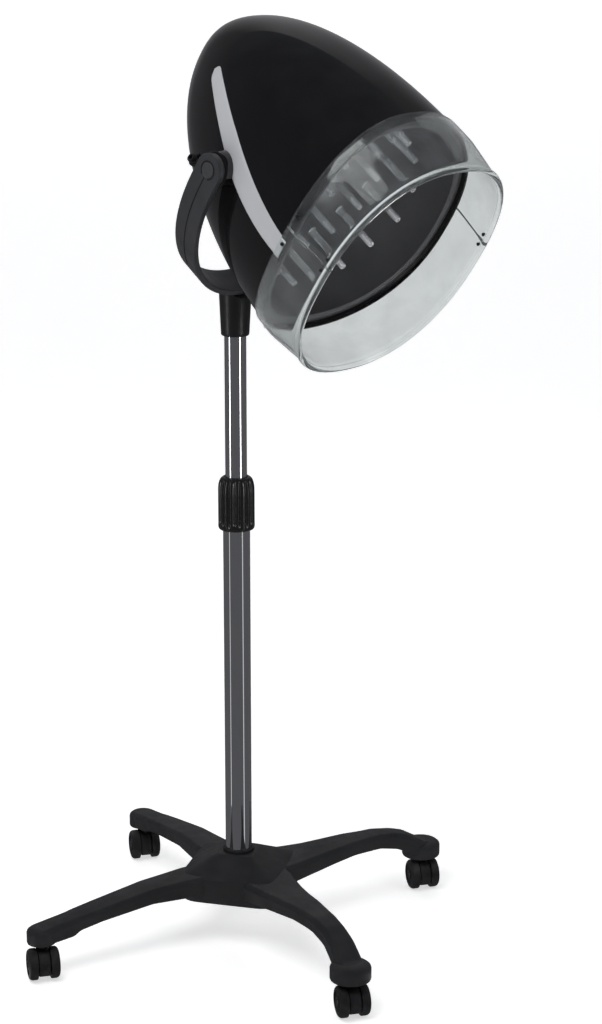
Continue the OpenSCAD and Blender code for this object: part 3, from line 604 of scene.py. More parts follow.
# Each tall strip: its angle from the camera's direction, its width in metres and its power.
STRIPS = {"strip_left": (-62, 0.30, 17), "strip_right": (52, 0.36, 20)}
STRIP_AWAY = 2.6
strips = [lamp(name, around(degrees, STRIP_AWAY, 0.75), (0, 0, 0.5), (width, 3.4), power)
          for name, (degrees, width, power) in STRIPS.items()]
mouth_lamp = lamp("mouth", (-0.55, -1.05, 0.45), (0, -0.2, 1.2), (0.7, 0.5), 14)
lamp("overhead", around(-35, 1.5, 3.2), (0, 0, 0.7), (1.8, 1.8), 48).visible_glossy = False
lamp("fill", around(60, 2.8, 1.9), (0, 0, 0.8), (1.0, 1.0), 12).visible_glossy = False

RIGHT = (math.cos(CAMERA_AZ), math.sin(CAMERA_AZ), 0.0)
AWAY = (-math.sin(CAMERA_AZ), math.cos(CAMERA_AZ), 0.0)


def distance_along(tree, at, direction):
    """How far a point lies along a direction."""
    return node(tree, "ShaderNodeVectorMath", {0: at, 1: tuple(direction)},
                operation="DOT_PRODUCT").outputs["Value"]


def painted_reflection_band(tree, at, height, degrees, width):
    """A painted reflection: a light wedge that glossy rays see on the floor, from the pole to a strip, that
    carries the strip's line down the tube.
    """
    way = around(degrees, 1.0, 0.0)
    off = math_node(tree, "ABSOLUTE", distance_along(tree, at, (-way[1], way[0], 0.0)))
    along = distance_along(tree, at, way)
    slope = math_node(tree, "DIVIDE", off, math_node(tree, "MAXIMUM", along, 0.02))
    edge, soft = width / 2 / STRIP_AWAY, 0.015
    band = times(tree, remap(tree, slope, edge + soft, edge - soft), remap(tree, height, 0.3, 0.1))
    return times(tree, band, remap(tree, along, 0.0, 0.05))


def paper():
    """The floor's material: white paper that glows a little, or, to glossy rays, a painted reflection of a dim
    room.
    """
    material, tree = blank("Pale studio paper")
    at = object_point(tree)
    colour = mix(tree, noise(tree, at, 3.0, 3.0), (0.90, 0.90, 0.90), (0.93, 0.93, 0.93))
    white = node(tree, "ShaderNodeBsdfPrincipled", {
        "Base Color": colour, "Roughness": 0.9,
        "Emission Color": (1, 1, 1, 1), "Emission Strength": 0.58}).outputs[0]
    height = node(tree, "ShaderNodeSeparateXYZ", {0: at}).outputs[2]
    aside = math_node(tree, "ABSOLUTE", distance_along(tree, at, RIGHT))
    # Painted light in the reflected room: brighter higher up and towards the middle.
    lit = times(tree, remap(tree, height, 0.02, 1.4), remap(tree, aside, 2.6, 0.2))
    dim = mix(tree, lit, (0.09, 0.09, 0.095), (0.26, 0.26, 0.27))
    for degrees, width, _ in STRIPS.values():
        dim = mix(tree, painted_reflection_band(tree, at, height, degrees, width), dim, (0.62, 0.62, 0.63))
    # The painted reflection glows, and mirror-like rays see it instead of the paper.
    room = node(tree, "ShaderNodeEmission", {"Color": dim, "Strength": 1.0}).outputs[0]
    path = tree.nodes.new("ShaderNodeLightPath").outputs
    mirrored = math_node(tree, "SUBTRACT", path["Is Glossy Ray"], path["Is Transmission Ray"],
                         clamp=True)
    show(tree, node(tree, "ShaderNodeMixShader", {0: mirrored, 1: white, 2: room}).outputs[0])
    return material


def backdrop():
    """Floor, quarter circle and wall in one sheet: height over distance behind the object."""
    side = np.linspace(-9, 9, 37)
    bend = np.linspace(0, math.pi / 2, 13)[1:-1]
    wall_starts, radius, step = 2.6, 1.4, 0.5
    run = [(-7 + step * k, 0.0) for k in range(20)]
    run += [(wall_starts + radius * math.sin(b), radius * (1 - math.cos(b))) for b in bend]
    run += [(wall_starts + radius, radius + step * k) for k in range(11)]
    right, away = np.array(RIGHT), np.array(AWAY)
    verts = [s * right + d * away + np.array([0, 0, h]) for d, h in run for s in side]
    n = len(side)
    faces = [(r * n + c, r * n + c + 1, (r + 1) * n + c + 1, (r + 1) * n + c)
             for r in range(len(run) - 1) for c in range(n - 1)]
    mesh = bpy.data.meshes.new("floor")
    mesh.from_pydata([tuple(v) for v in verts], [], faces)
    mesh.polygons.foreach_set("use_smooth", [True] * len(faces))
    mesh.materials.append(paper())
    obj = bpy.data.objects.new("floor", mesh)
    scene.collection.objects.link(obj)


backdrop()
world = bpy.data.worlds.new("studio")
scene.world = world
world.use_nodes = True
sky = world.node_tree.nodes["Background"].inputs
sky[0].default_value, sky[1].default_value = (0.75, 0.8, 0.9, 1), 0.10
scene.view_settings.view_transform = "Standard"
print("camera, backdrop and", len(bpy.data.lights), "lamps ready")

# %% [markdown]
# ## The shape of the hood
#
# Seen along its axis the hood is a superellipse, |x/b|^n + |y/a|^n = 1, a little squarer than an
# ellipse. Up to `DOME` above the opening it widens slightly; from there to the crown its size
# follows a quarter ellipse, and its centre drifts towards the front.

# %%
# Half the length and half the width at the widest, and the power n.
HOOD_A, HOOD_B, HOOD_N = 0.185, 0.160, 2.3
# Heights over the opening of the crown and of DOME, and how far the crown lies to the front.
HOOD_LEN, DOME, CROWN = 0.455, 0.068, 0.033
SHELL_WALL = 0.003
# The bowl: its top's height, how far it stands inside the shell's surface, and its wall.
LINER_TOP, LINER_GAP, LINER_WALL = 0.272, 0.016, 0.0025
FINGER_LEN = 0.0745
# Angles round the hood for the shell and the bowl.
ROUND = circle(192)


def sized(v):
    """Signed power that turns a circle into the superellipse."""
    return np.sign(v) * np.abs(v) ** (2 / HOOD_N)


def hood_point(d, t, off=0.0, length=HOOD_LEN, shift=CROWN):
    """Point at height d and angle t (radians, 0 at the front), moved out by off; hood's frame."""
    d, t, off = np.broadcast_arrays(*(np.asarray(v, float) for v in (d, t, off)))
    x = np.clip((d - DOME) / (length + off - DOME), 0, 1)
    k = np.where(d < DOME, 1 - 0.05 * (DOME - d) / DOME, np.sqrt(np.maximum(0, 1 - x * x)))
    s = shift * x ** 1.5
    return np.stack([(HOOD_B + off) * k * sized(np.sin(t)),
                     -((HOOD_A + off) * k * sized(np.cos(t)) + s), d], -1)


def visor_edge(t):
    """Height of the clear sheets' top edge on the shell: lowest at the sides."""
    return 0.0972 + 0.0025 * np.cos(t) + 0.0093 * np.cos(2 * t)


def dome_rings(rim, n=64):
    """Rings down the inside of the shell from its top, round its rim, and up the outside."""
    v = 1 - (1 - np.linspace(0, 1 - 0.4 / n, n)) ** 2
    inner = [hood_point(rim + (HOOD_LEN - SHELL_WALL - rim) * q, ROUND, -SHELL_WALL) for q in v]
    outer = [hood_point(rim + (HOOD_LEN - rim) * q, ROUND) for q in v]
    r = SHELL_WALL / 2
    turn = [hood_point(rim - r * math.sin(a), ROUND, r * math.cos(a) - r)
            for a in np.linspace(math.pi, 0, 9)[1:-1]]
    return placed(HOOD, inner[::-1] + turn + outer)


# The shell ends 13 mm below the top of the clear sheets.
shell = dome_rings(visor_edge(ROUND) - 0.013)
solid("hood_dome", [loft(shell)], M["gloss_black"], "hood", ["hood_shell"])
print("hood dome:", shell.shape[0] * shell.shape[1], "points")

# %% [markdown]
# ### Silver stripes
#
# Each stripe is a raised strip with rounded shoulders. Its middle runs up the side and leans
# towards the front; its width grows and its top end is rounded off.

# %%
# Heights over the opening (m): the stripe's two ends, and where it starts to lean.
STRIPE_LOW, STRIPE_HIGH, STRIPE_LEANS = 0.078, 0.360, 0.084
# Height of the stripe's middle over the shell (m), and how deep its back is sunk.
STRIPE_PROUD, STRIPE_SUNK = 0.0015, 0.0012


def stripe(side):
    """Rings along the stripe. Its height over the shell is STRIPE_PROUD·sqrt(1 - j^6) across j."""
    q = np.linspace(0, 1, 90)
    d = STRIPE_LOW + (STRIPE_HIGH - STRIPE_LOW) * q
    u = (d - STRIPE_LEANS) / (STRIPE_HIGH - STRIPE_LEANS)
    mid = np.radians(90.7 - 20 * np.clip(u, 0, 1) ** 1.9)
    half = np.radians(2.9 + 2.4 * np.minimum(1, (d - STRIPE_LOW) / 0.17))
    end = np.sqrt(np.clip(1 - np.clip((q - 0.965) / 0.035, 0, 1) ** 2, 0.0004, 1))
    front = np.linspace(-1, 1, 17)
    j = np.concatenate([front, [0.9, 0, -0.9]])
    raised = STRIPE_PROUD * np.sqrt(np.maximum(0, 1 - front ** 6))
    lift = np.concatenate([raised, [-STRIPE_SUNK] * 3])
    t = mid[:, None] + (half * end)[:, None] * j[None, :]
    rings = hood_point(d[:, None], t, lift[None, :])
    rings[..., 0] *= side
    return placed(HOOD, rings)


solid("silver_stripes", [loft(stripe(-1)), loft(stripe(1))], M["silver_trim"], "hood",
      ["side_trims"])
print("two silver stripes")

# %% [markdown]
# ### Clear visor and rear skirt
#
# Both are one cross-section carried round part of the hood: a 3 mm sheet with a rounded top edge
# and a thick bead along the opening, which catches the light.

# %%
# Half the sheet's thickness, how far its middle stands off the shell, and the bead (m).
SHEET_HALF, SHEET_OFF, BEAD_R, BEAD_D = 0.0015, 0.0019, 0.0042, 0.0044


def clear_section(t):
    """Loop of (height, offset) pairs at angle t: up the outside, over the edge, down, the bead."""
    mid, half = SHEET_OFF, SHEET_HALF
    top = visor_edge(t) - half
    rise = np.linspace(0.010, top, 14)
    over = [(top + half * math.sin(a), mid + half * math.cos(a))
            for a in np.linspace(0, math.pi, 7)[1:-1]]
    under = [(BEAD_D + BEAD_R * math.cos(a), mid + BEAD_R * math.sin(a))
             for a in np.linspace(-0.6, -TAU + 0.6, 17)]
    outside = [(d, mid + half) for d in rise]
    inside = [(d, mid - half) for d in rise[::-1]]
    return np.array(outside + over + inside + under)


def clear_sheet(t0, t1, n):
    """Rings of the clear section from angle t0 to t1, in degrees."""
    rings = []
    for t in np.radians(np.linspace(t0, t1, n)):
        s = clear_section(t)
        rings.append(hood_point(s[:, 0], t, s[:, 1]))
    return placed(HOOD, rings)


solid("clear_visor", [loft(clear_sheet(-83, 83, 150))], M["clear"], "hood", ["front_visor"])
solid("clear_skirt", [loft(clear_sheet(83.3, 276.7, 160))], M["clear"], "hood", ["rear_skirt"])


def stud(d, t, radius, height):
    """A small domed pin that stands on the clear sheet at height d and angle t degrees."""
    t, off, e = math.radians(t), SHEET_OFF + SHEET_HALF, 0.004
    p = hood_point(d, t, off)
    across = hood_point(d, t + e, off) - hood_point(d, t - e, off)
    along = hood_point(d + e, t, off) - hood_point(d - e, t, off)
    out = np.cross(along, across)
    out /= np.linalg.norm(out)
    if out @ np.array([p[0], p[1], 0]) < 0:
        out = -out
    x = across / np.linalg.norm(across)
    seat = HOOD.at(p, [x, np.cross(out, x), out])
    cap = [(radius * math.cos(a), height + radius * 0.6 * math.sin(a))
           for a in np.linspace(0, 1.5, 7)]
    return lathe(seat, [(radius, -0.004)] + cap, n=24)


pins = [stud(visor_edge(math.radians(t)) - 0.007, t, 0.0026, 0.0008)
        for t in (77, 89, 150, 210, 271, 283)]
pins += [stud(0.012, t, 0.0024, 0.0006) for t in (80.5, 85.5, 274.5, 279.5)]
solid("skirt_studs", pins, M["pin"], "hood", ["skirt_pins"])
print("clear visor, clear skirt and", len(pins), "pins")

# %% [markdown]
# ### Inner dome and air fingers
#
# A dark bowl stands inside the shell. Clear hollow pegs hang from it parallel to the hood's axis.

# %%


def liner():
    """Rings down the bowl's inside, round its rim, over a flange to the shell, and up outside."""
    rim, off, wall = visor_edge(ROUND) - 0.006, -LINER_GAP, LINER_WALL
    length = LINER_TOP - off
    v = 1 - (1 - np.linspace(0, 0.993, 48)) ** 2
    rise = LINER_TOP - wall - rim
    inner = [hood_point(rim + rise * q, ROUND, off - wall, length, 0) for q in v]
    outer = [hood_point(rim + wall + rise * q, ROUND, off, length, 0) for q in v]
    flange = [(rim - 0.001, off - wall * 0.6), (rim - 0.002, off + 0.003), (rim, -0.0045),
              (rim + 0.0004, -0.0034), (rim + wall, -0.0034), (rim + wall, off + 0.004)]
    return placed(HOOD, inner[::-1] + [hood_point(d, ROUND, o) for d, o in flange] + outer)


solid("inner_bowl", [loft(liner())], M["liner"], "hood", ["inner_dome"])


def finger(x, y):
    """A tapered hollow peg: out along its wall, round its tip and back up its bore."""
    inset = LINER_GAP + LINER_WALL
    q = (abs(x) / (HOOD_B - inset)) ** HOOD_N + (abs(y) / (HOOD_A - inset)) ** HOOD_N
    top = DOME + (LINER_TOP - LINER_WALL - DOME) * math.sqrt(max(0, 1 - q ** (2 / HOOD_N)))
    tip = top - FINGER_LEN
    outside = [(0.0072, top + 0.002), (0.0062, top - 0.001), (0.0050, top - 0.004),
               (0.0047, tip + 0.012)]
    lip = [(0.0031 + 0.0014 * math.cos(a), tip + 0.0014 - 0.0014 * math.sin(a))
           for a in np.linspace(0, math.pi, 7)]
    bore = [(0.0018, tip + 0.004), (0.0020, tip + 0.020), (0.0004, tip + 0.022)]
    return lathe(HOOD.at([x, y, 0]), outside + lip + bore, n=20)


fingers = []
# Three rings of pegs: radius (m), how many, and the first one's angle.
for radius, count, first in ((0.046, 6, 0), (0.088, 11, 12), (0.122, 15, 4)):
    for i in range(count):
        a = math.radians(first + 360 * i / count)
        fingers.append(finger(radius * 0.92 * math.sin(a), -radius * 1.06 * math.cos(a)))
solid("clear_fingers", fingers, M["finger"], "hood", ["air_fingers"])
print("inner bowl and", len(fingers), "fingers")

# %% [markdown]
# ## Yoke
#
# The band is a rounded rectangle carried along a U: straight ends over a half ellipse. Each end
# closes in a half circle. A thin dark rod circles the bolt cover and runs down the arm: painted
# shade where a fine groove is.

# %%
# Half the gap between the arms, the band's thickness and width, and the height of the bow (m).
YOKE_HALF, BAND_T, BAND_W, BOW = 0.1636, 0.009, 0.046, 0.205
GROOVE_R = 0.0125


def band_line(s):
    """Centre of the band and its outward normal in the yoke's plane; s is -1 to 1 round the bow,
    and beyond that the distance up the straight arm in metres is |s| - 1."""
    half = YOKE_HALF + BAND_T / 2
    a = np.clip(s, -1, 1) * math.pi / 2
    z = BOW - BOW * np.cos(a) + np.maximum(0, np.abs(s) - 1)
    n = np.stack([np.sin(a) * BOW, 0 * a, -np.cos(a) * half], -1)
    return np.stack([half * np.sin(a), 0 * a, z], -1), n / np.linalg.norm(n, axis=1)[:, None]


def band_rings():
    """Rounded rectangles along the U; near each tip their width follows a circle."""
    tip = PIVOT_REACH + BAND_W / 2 - BOW
    ramp = tip * np.sin(np.linspace(0, math.pi / 2, 22))
    s = np.concatenate([-(1 + ramp[::-1]), np.linspace(-1, 1, 121)[1:-1], 1 + ramp])
    s[0], s[-1] = -(1 + tip * 0.9998), 1 + tip * 0.9998
    centre, out = band_line(s)
    over = np.maximum(0, np.abs(s) - 1 - (PIVOT_REACH - BOW)) / (BAND_W / 2)
    half = BAND_W / 2 * np.sqrt(np.maximum(1e-5, 1 - over ** 2))
    w, t = BAND_W / 2, BAND_T / 2
    outline = rounded([(-w, -t), (-w * 0.3, -t), (w * 0.3, -t), (w, -t),
                       (w, t), (w * 0.3, t), (-w * 0.3, t), (-w, t)], 0.0022)
    rings = [c + np.outer(outline[:, 0] * h / w, [0, 1, 0]) + np.outer(outline[:, 1], n)
             for c, n, h in zip(centre, out, half)]
    return placed(YOKE, rings)


solid("yoke_bow", [loft(band_rings())], M["yoke"], "yoke", ["yoke_band"])


def painted_groove_shade(side):
    """A fine dark line of painted groove shade: three quarters of a circle round the bolt cover, then down the arm
    and bow.
    """
    r, face = GROOVE_R, YOKE_HALF + BAND_T
    hook = [(face, -r * math.cos(a), PIVOT_REACH + r * math.sin(a))
            for a in np.linspace(-1.0, 4.2, 50)]
    straight = 1 + np.linspace(PIVOT_REACH - BOW - r, 0, 12)
    centre, out = band_line(np.concatenate([straight, np.linspace(1, 0.48, 60)]))
    return [tube_along(YOKE.put(np.array(line) * [side, 1, 1]), 0.00075, 8, (1, 0.2, 0.1))
            for line in (hook, centre + out * BAND_T / 2)]


# Thin dark rods on the band: painted shade where a fine groove runs.
solid("yoke_groove", painted_groove_shade(-1) + painted_groove_shade(1), M["painted_groove_shade"], "yoke")

SIDES = {s: YOKE.at([0, 0, PIVOT_REACH], [[0, 1, 0], [0, 0, s], [s, 0, 0]]) for s in (-1, 1)}


def both_sides(profile):
    """A part turned about the pivot's axis, left and right; heights are from the middle plane."""
    return [lathe(side, profile, 72) for side in SIDES.values()]


def lifted(profile, height):
    """A profile moved along its axis."""
    return [(r, z + height) for r, z in profile]


cover = [(0.0108, -0.004), (0.0108, 0.0002), (0.0102, 0.0009), (0.0088, 0.0012), (0.0030, 0.0013),
         (0.0022, 0.0009), (0.0002, 0.0009)]
solid("bolt_covers", both_sides(lifted(cover, YOKE_HALF + BAND_T)), M["cap"], "yoke",
      ["pivot_caps"])
# A fibre washer of 2.1 mm, with its play, lies between each boss and its arm.
boss = [(0.0250, -0.003), (0.0243, -0.0012), (0.0230, -0.0003), (0.0210, 0), (0.0075, 0),
        (0.0068, -0.004)]
boss = [(0.0245, 0.1344), (0.0250, 0.136)] + lifted(boss, YOKE_HALF - 0.0021)
solid("side_bosses", both_sides(boss), M["gloss_black"], "hood", ["pivot_bosses"])
print("yoke, groove, bolt covers and bosses")

# %% [markdown]
# ## Collar, tubes, grip and foot ring

# %%
# The collar's bottom, and its radius there and at its top (m).
COLLAR_Z, COLLAR_R0, COLLAR_R1 = 0.928, 0.0205, 0.0240
LOWER_R, UPPER_R, TUBE_WALL = 0.020, 0.016, 0.0015


def collar_rings():
    """A cone whose top is cut by the leaning plane of the yoke's underside."""
    a = circle(96)
    foot = [(0.0175, 0), (0.0195, 0.0006), (COLLAR_R0, 0.0020)]
    rings = [np.stack([r * np.cos(a), r * np.sin(a), COLLAR_Z + z + 0 * a], -1) for r, z in foot]
    sin_l, cos_l = math.sin(math.radians(LEAN)), math.cos(math.radians(LEAN))
    for v in np.linspace(0.04, 1, 24):
        r = COLLAR_R0 + (COLLAR_R1 - COLLAR_R0) * v
        top = YOKE.o[2] + (-0.0040 + r * np.sin(a) * sin_l) / cos_l
        rings.append(np.stack([r * np.cos(a), r * np.sin(a), COLLAR_Z + (top - COLLAR_Z) * v], -1))
    return np.array(rings)


solid("pole_collar", [loft(collar_rings())], M["collar"], "yoke", ["yoke_collar"])


def tube(r, z0, z1):
    """A tube on the pole's axis, with softened ends."""
    bore, e = r - TUBE_WALL, 0.0004
    wall = [(r, z0 + e), (r, z1 - e), (r - e, z1), (bore + e, z1), (bore, z1 - e), (bore, z0 + e),
            (bore + e, z0), (r - e, z0)]
    return lathe(WORLD, wall, 128, True)


# Bottom and top of each piece.
HEIGHTS = {n: [corner[2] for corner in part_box(n)]
           for n in ("lower_pole", "upper_pole", "lock_grip", "foot_ring")}
solid("lower_tube", [tube(LOWER_R, *HEIGHTS["lower_pole"])], M["chrome"], "base", ["lower_pole"])
solid("upper_tube", [tube(UPPER_R, *HEIGHTS["upper_pole"])], M["chrome"], "mast", ["upper_pole"])
foot = [(0.0202, 0), (0.0236, 0), (0.0238, 0.0006), (0.0235, 0.0036), (0.0226, 0.0046),
        (0.0212, 0.0050), (0.0202, 0.0046)]
solid("foot_collar", [lathe(WORLD, lifted(foot, HEIGHTS["foot_ring"][0]), 128, True)],
      M["black"], "base", ["foot_ring"])


def grip_shape():
    """The grip's outside and bore, with 18 flutes cut by depth·(0.5 + 0.5·cos(18·a))^2."""
    z0, z1 = HEIGHTS["lock_grip"]
    h = z1 - z0
    waist, widest, shoulder = 0.0178, 0.0270, h - 0.020
    z = np.concatenate([[0, 0.0015, 0.004], np.linspace(0.007, shoulder, 26),
                        shoulder + 0.020 * np.sin(np.linspace(0.06, math.pi / 2, 26))])
    over = np.clip((z - (h - 0.022)) / 0.022, 0, 1)
    r = waist + (widest - waist) * np.sqrt(np.maximum(0, 1 - over ** 2.6))
    r[0], r[1] = 0.0252, 0.0264
    bore = [(0.0168, h - 0.0015), (0.0168, h * 0.5), (0.0236, h * 0.4), (0.0236, 0.001)]

    def flute(radius, height, angle):
        u = (height - z0) / h
        fade = np.clip((u - 0.08) / 0.05, 0, 1) * np.clip((1.0 - u) / 0.16, 0, 1) ** 0.5
        cut = 0.0021 * fade * (0.5 + 0.5 * np.cos(18 * angle)) ** 2
        # Full depth where it is widest, half elsewhere, and none in the narrow bore.
        return radius - np.where(radius + 0 * angle > 0.0238, cut, cut * 0.5 * (radius > 0.0172))

    return lathe(WORLD, lifted([*zip(r, z), *bore], z0), 360, True, flute)


solid("twist_grip", [grip_shape()], M["grip"], "grip", ["lock_grip"], crease=50)


def light_only(lamps, names, title):
    """Let lamps light only the pieces with these names."""
    lit = bpy.data.collections.new(title)
    for name in names:
        lit.objects.link(bpy.data.objects[name])
    for each in lamps:
        each.light_linking.receiver_collection = lit


light_only(strips, ("lower_tube", "upper_tube", "twist_grip", "pole_collar"), "lit by the strips")
light_only([mouth_lamp], ("clear_fingers", "inner_bowl"), "lit by the mouth lamp")
print("collar, tubes, grip and foot ring")

# %% [markdown]
# ## Base
#
# Each arm is a cross-section carried outwards along the arm: a flat top, chamfered shoulders,
# and sides that lean in slightly. Its width, top and underside are curves over the distance from
# the pole. The two front arms bow forwards, so their two edges are separate curves.

# %%
# From the pole's axis to a caster's, and the heights of a socket's two ends (m).
REACH, SOCKET, TIP = 0.331, 0.052, 0.079
# Radius of an arm's rounded end (mm), and the base's turn about the pole (degrees).
END_R, BASE_TURN = 21.5, 30
# Curves in mm over the distance from the pole: the two edges, the top and the underside.
LINES = {
    "front": {
        "one": [(0, 50), (88, 30), (141, 22), (222, 12), (270, 11), (331, 21)],
        "two": [(0, -58), (66, -55), (110, -45), (150, -38), (229, -29), (300, -25), (331, -22)],
        "top": [(0, 108), (120, 109), (190, 113), (240, 113), (272, 108), (298, 99), (331, 79),
                (360, 76)],
        "low": [(0, 72), (120, 82), (190, 90), (240, 89), (272, 81), (298, 68), (318, 54),
                (360, 52)],
    },
    "rear": {
        "one": [(0, 36), (88, 30), (158, 25), (291, 21), (360, 21)],
        "two": [(0, -36), (88, -30), (158, -25), (291, -21), (360, -21)],
        "top": [(0, 110), (88, 110), (158, 106), (240, 93), (331, 78), (360, 74)],
        "low": [(0, 72), (88, 80), (158, 82), (240, 72), (276, 65), (286, 58), (331, 53),
                (360, 53)],
    },
}


def curve(knots, u, soften=14.0):
    """Piecewise straight line through knots (mm), softened by averaging over a window (mm)."""
    k = np.array(knots, float)
    window = np.linspace(-1, 1, 15)
    weight = (1 - window ** 2) ** 2
    values = [np.interp(u + soften * w, k[:, 0], k[:, 1]) for w in window]
    return np.tensordot(weight / weight.sum(), np.array(values), 1)


def arm(kind, degrees, mirror):
    """Rings of one arm. The end beyond the caster's axis is a half circle seen from above."""
    line, reach = LINES[kind], REACH * 1000
    u = np.concatenate([np.linspace(20, reach, 78),
                        reach + END_R * np.sin(np.linspace(0.08, 1.555, 20))])
    one, two = curve(line["one"], u), curve(line["two"], u)
    top, base = curve(line["top"], u, 8), curve(line["low"], u, 5)
    over = np.clip((u - reach) / END_R, 0, 1)
    narrow = np.sqrt(np.maximum(1e-4, 1 - over ** 2))
    mid, half = (one + two) / 2, (one - two) / 2 * narrow
    top = top - 7 * (1 - np.sqrt(np.maximum(0, 1 - over ** 3)))
    rings = []
    for x, m, h, t, b in zip(u, mid, half, top, base):
        c = min(6.5, 0.24 * (t - b))
        outline = rounded([(-h * 0.90, b), (h * 0.90, b), (h, t - c), (h - c * 0.9, t - 0.6),
                           (0, t), (-h + c * 0.9, t - 0.6), (-h, t - c)], 2.6)
        y, z = outline.T
        rings.append(np.stack([x + 0 * y, m + y, z], -1) * MM)
    rings = np.array(rings)
    if mirror:
        rings[..., 1] *= -1
    return loft(placed(Place([0, 0, 0], *turned("z", degrees)), rings))


def block():
    """The raised block under the pole: rounded squares that step out and slope in."""
    a = circle(160)
    square = np.stack([np.sign(v) * np.abs(v) ** (2 / 9) for v in (np.cos(a), np.sin(a))], -1)
    steps = [(60, 67), (68, 66), (70, 67.5), (75, 90), (75, 104.5), (74.4, 106.8), (72.6, 108.2),
             (50, 119.2), (29.5, 129.6), (27.2, 130.7), (25, 131), (19.6, 131)]
    rings = [np.concatenate([square * h, np.full((len(a), 1), z)], 1) * MM for h, z in steps]
    return loft(placed(Place([0, 0, 0], *turned("z", BASE_TURN)), rings))


def stem_place(i):
    """A frame on the floor under caster i's stem, turned with the caster."""
    p = JOINTS[f"swivel_{i + 1}"]["pos_m"]
    x = np.array(JOINTS[f"roll_{i + 1}a"]["axis"])
    return Place([p[0], p[1], 0], x, np.cross([0, 0, 1], x), [0, 0, 1])


def socket(i):
    """A round boss over a caster's stem, larger on the front arms."""
    r = 0.030 if i in (0, 3) else 0.0218
    profile = [(r - 0.003, SOCKET), (r - 0.0008, SOCKET + 0.001), (r, SOCKET + 0.003),
               (r, TIP - 0.009), (r - 0.001, TIP - 0.0065), (r - 0.004, TIP - 0.004),
               (r - 0.009, TIP - 0.0022), (r - 0.015, TIP - 0.0014)]
    return lathe(stem_place(i), profile)


arms = [arm("front", BASE_TURN - 45, False), arm("rear", BASE_TURN + 45, False),
        arm("front", BASE_TURN + 225, True), arm("rear", BASE_TURN + 135, True)]
solid("stand_base", [block()] + arms + [socket(i) for i in range(4)], M["base"], "base",
      ["base_frame"], crease=32)
print("base: block,", len(arms), "arms and four sockets")

# %% [markdown]
# ## Casters
#
# Each caster has a housing between its two wheels. A wheel is turned from one profile: rounded
# tread, a step, a shallow dish and a raised hub.

# %%
# A wheel's radius and width, the caster's width, and how far the axle trails the stem (m).
WHEEL_R, WHEEL_W, CASTER_W, TRAIL = 0.0235, 0.0135, 0.046, 0.010
FORK_HALF = CASTER_W / 2 - WHEEL_W - 0.0006


def housing(s):
    """A slab with rounded faces, cut flat below, and a neck that takes the stem."""
    a = circle(72)
    r = WHEEL_R - 0.002
    rings = []
    insets = {-1: 0.0022, -0.93: 0.0008, -0.8: 0.0, 0.8: 0.0, 0.93: 0.0008, 1: 0.0022}
    for x, inset in insets.items():
        y = TRAIL + (r - inset) * np.cos(a)
        z = np.maximum(0.009 + inset * 0.5, WHEEL_R + (r - inset) * np.sin(a))
        rings.append(np.stack([x * FORK_HALF + 0 * a, y, z], -1))
    neck = [(0.0080, WHEEL_R), (FORK_HALF, 0.030), (FORK_HALF, 0.0478),
            (FORK_HALF - 0.0008, 0.0490), (0.0060, 0.0512)]
    return [loft(placed(s, rings)), lathe(s, neck, 48)]


def axle(s, side):
    """A frame on the axle whose z axis points out of the wheel on one side."""
    return s.at([0, TRAIL, WHEEL_R], [[0, 1, 0], [0, 0, side], [side, 0, 0]])


def wheel(s, side):
    """One wheel, turned about the axle: a closed outline over its inner and its outer face."""
    r = WHEEL_R
    inner = [(0.0041, 0), (r - 0.0016, 0), (r - 0.0004, 0.0005), (r, 0.0016)]
    outer = [(r, -0.0052), (r - 0.0005, -0.0034), (r - 0.0016, -0.0018), (r - 0.0030, -0.0007),
             (r - 0.0045, -0.0002), (r - 0.0066, 0), (r - 0.0072, -0.0008), (r - 0.0080, -0.0020),
             (0.0095, -0.0020), (0.0082, -0.0016), (0.0074, -0.0002), (0.0066, 0), (0.0041, 0)]
    outline = lifted(inner, CASTER_W / 2 - WHEEL_W) + lifted(outer, CASTER_W / 2)
    return lathe(axle(s, side), outline, 96, True)


def axle_end(s, side):
    """The domed end of the axle in the wheel's hub."""
    x = CASTER_W / 2
    end = [(0.0040, 0.0), (0.0040, x - 0.0018), (0.0034, x - 0.0010), (0.0018, x - 0.0006)]
    return lathe(axle(s, side), end, 32)


for i in range(4):
    s, n = stem_place(i), i + 1
    solid(f"caster_housing_{n}", housing(s), M["caster"], f"caster_{n}", [f"caster_fork_{n}"])
    solid(f"caster_pin_{n}", [axle_end(s, -1), axle_end(s, 1)], M["zinc"], f"caster_{n}",
          [f"caster_axle_{n}"])
    for letter, side in (("a", 1), ("b", -1)):
        solid(f"roller_{n}{letter}", [wheel(s, side)], M["wheel"], f"wheel_{n}{letter}",
              [f"wheel_{n}{letter}"])
print("four casters with eight wheels")

# %% [markdown]
# ## Controls on the far side
#
# The panel, its rocker and screws keep their CAD shapes with softened edges. The knobs are
# turned with fine ribs, and each has a light pointer. Small ticks round each knob are its scale.

# %%
# The panel's outward direction, its direction across and its direction up.
PANEL_N = np.array(JOINTS["timer_turn"]["axis"])
PANEL_X = np.array(JOINTS["rocker_tip"]["axis"])
PANEL_Z = np.cross(PANEL_X, PANEL_N)


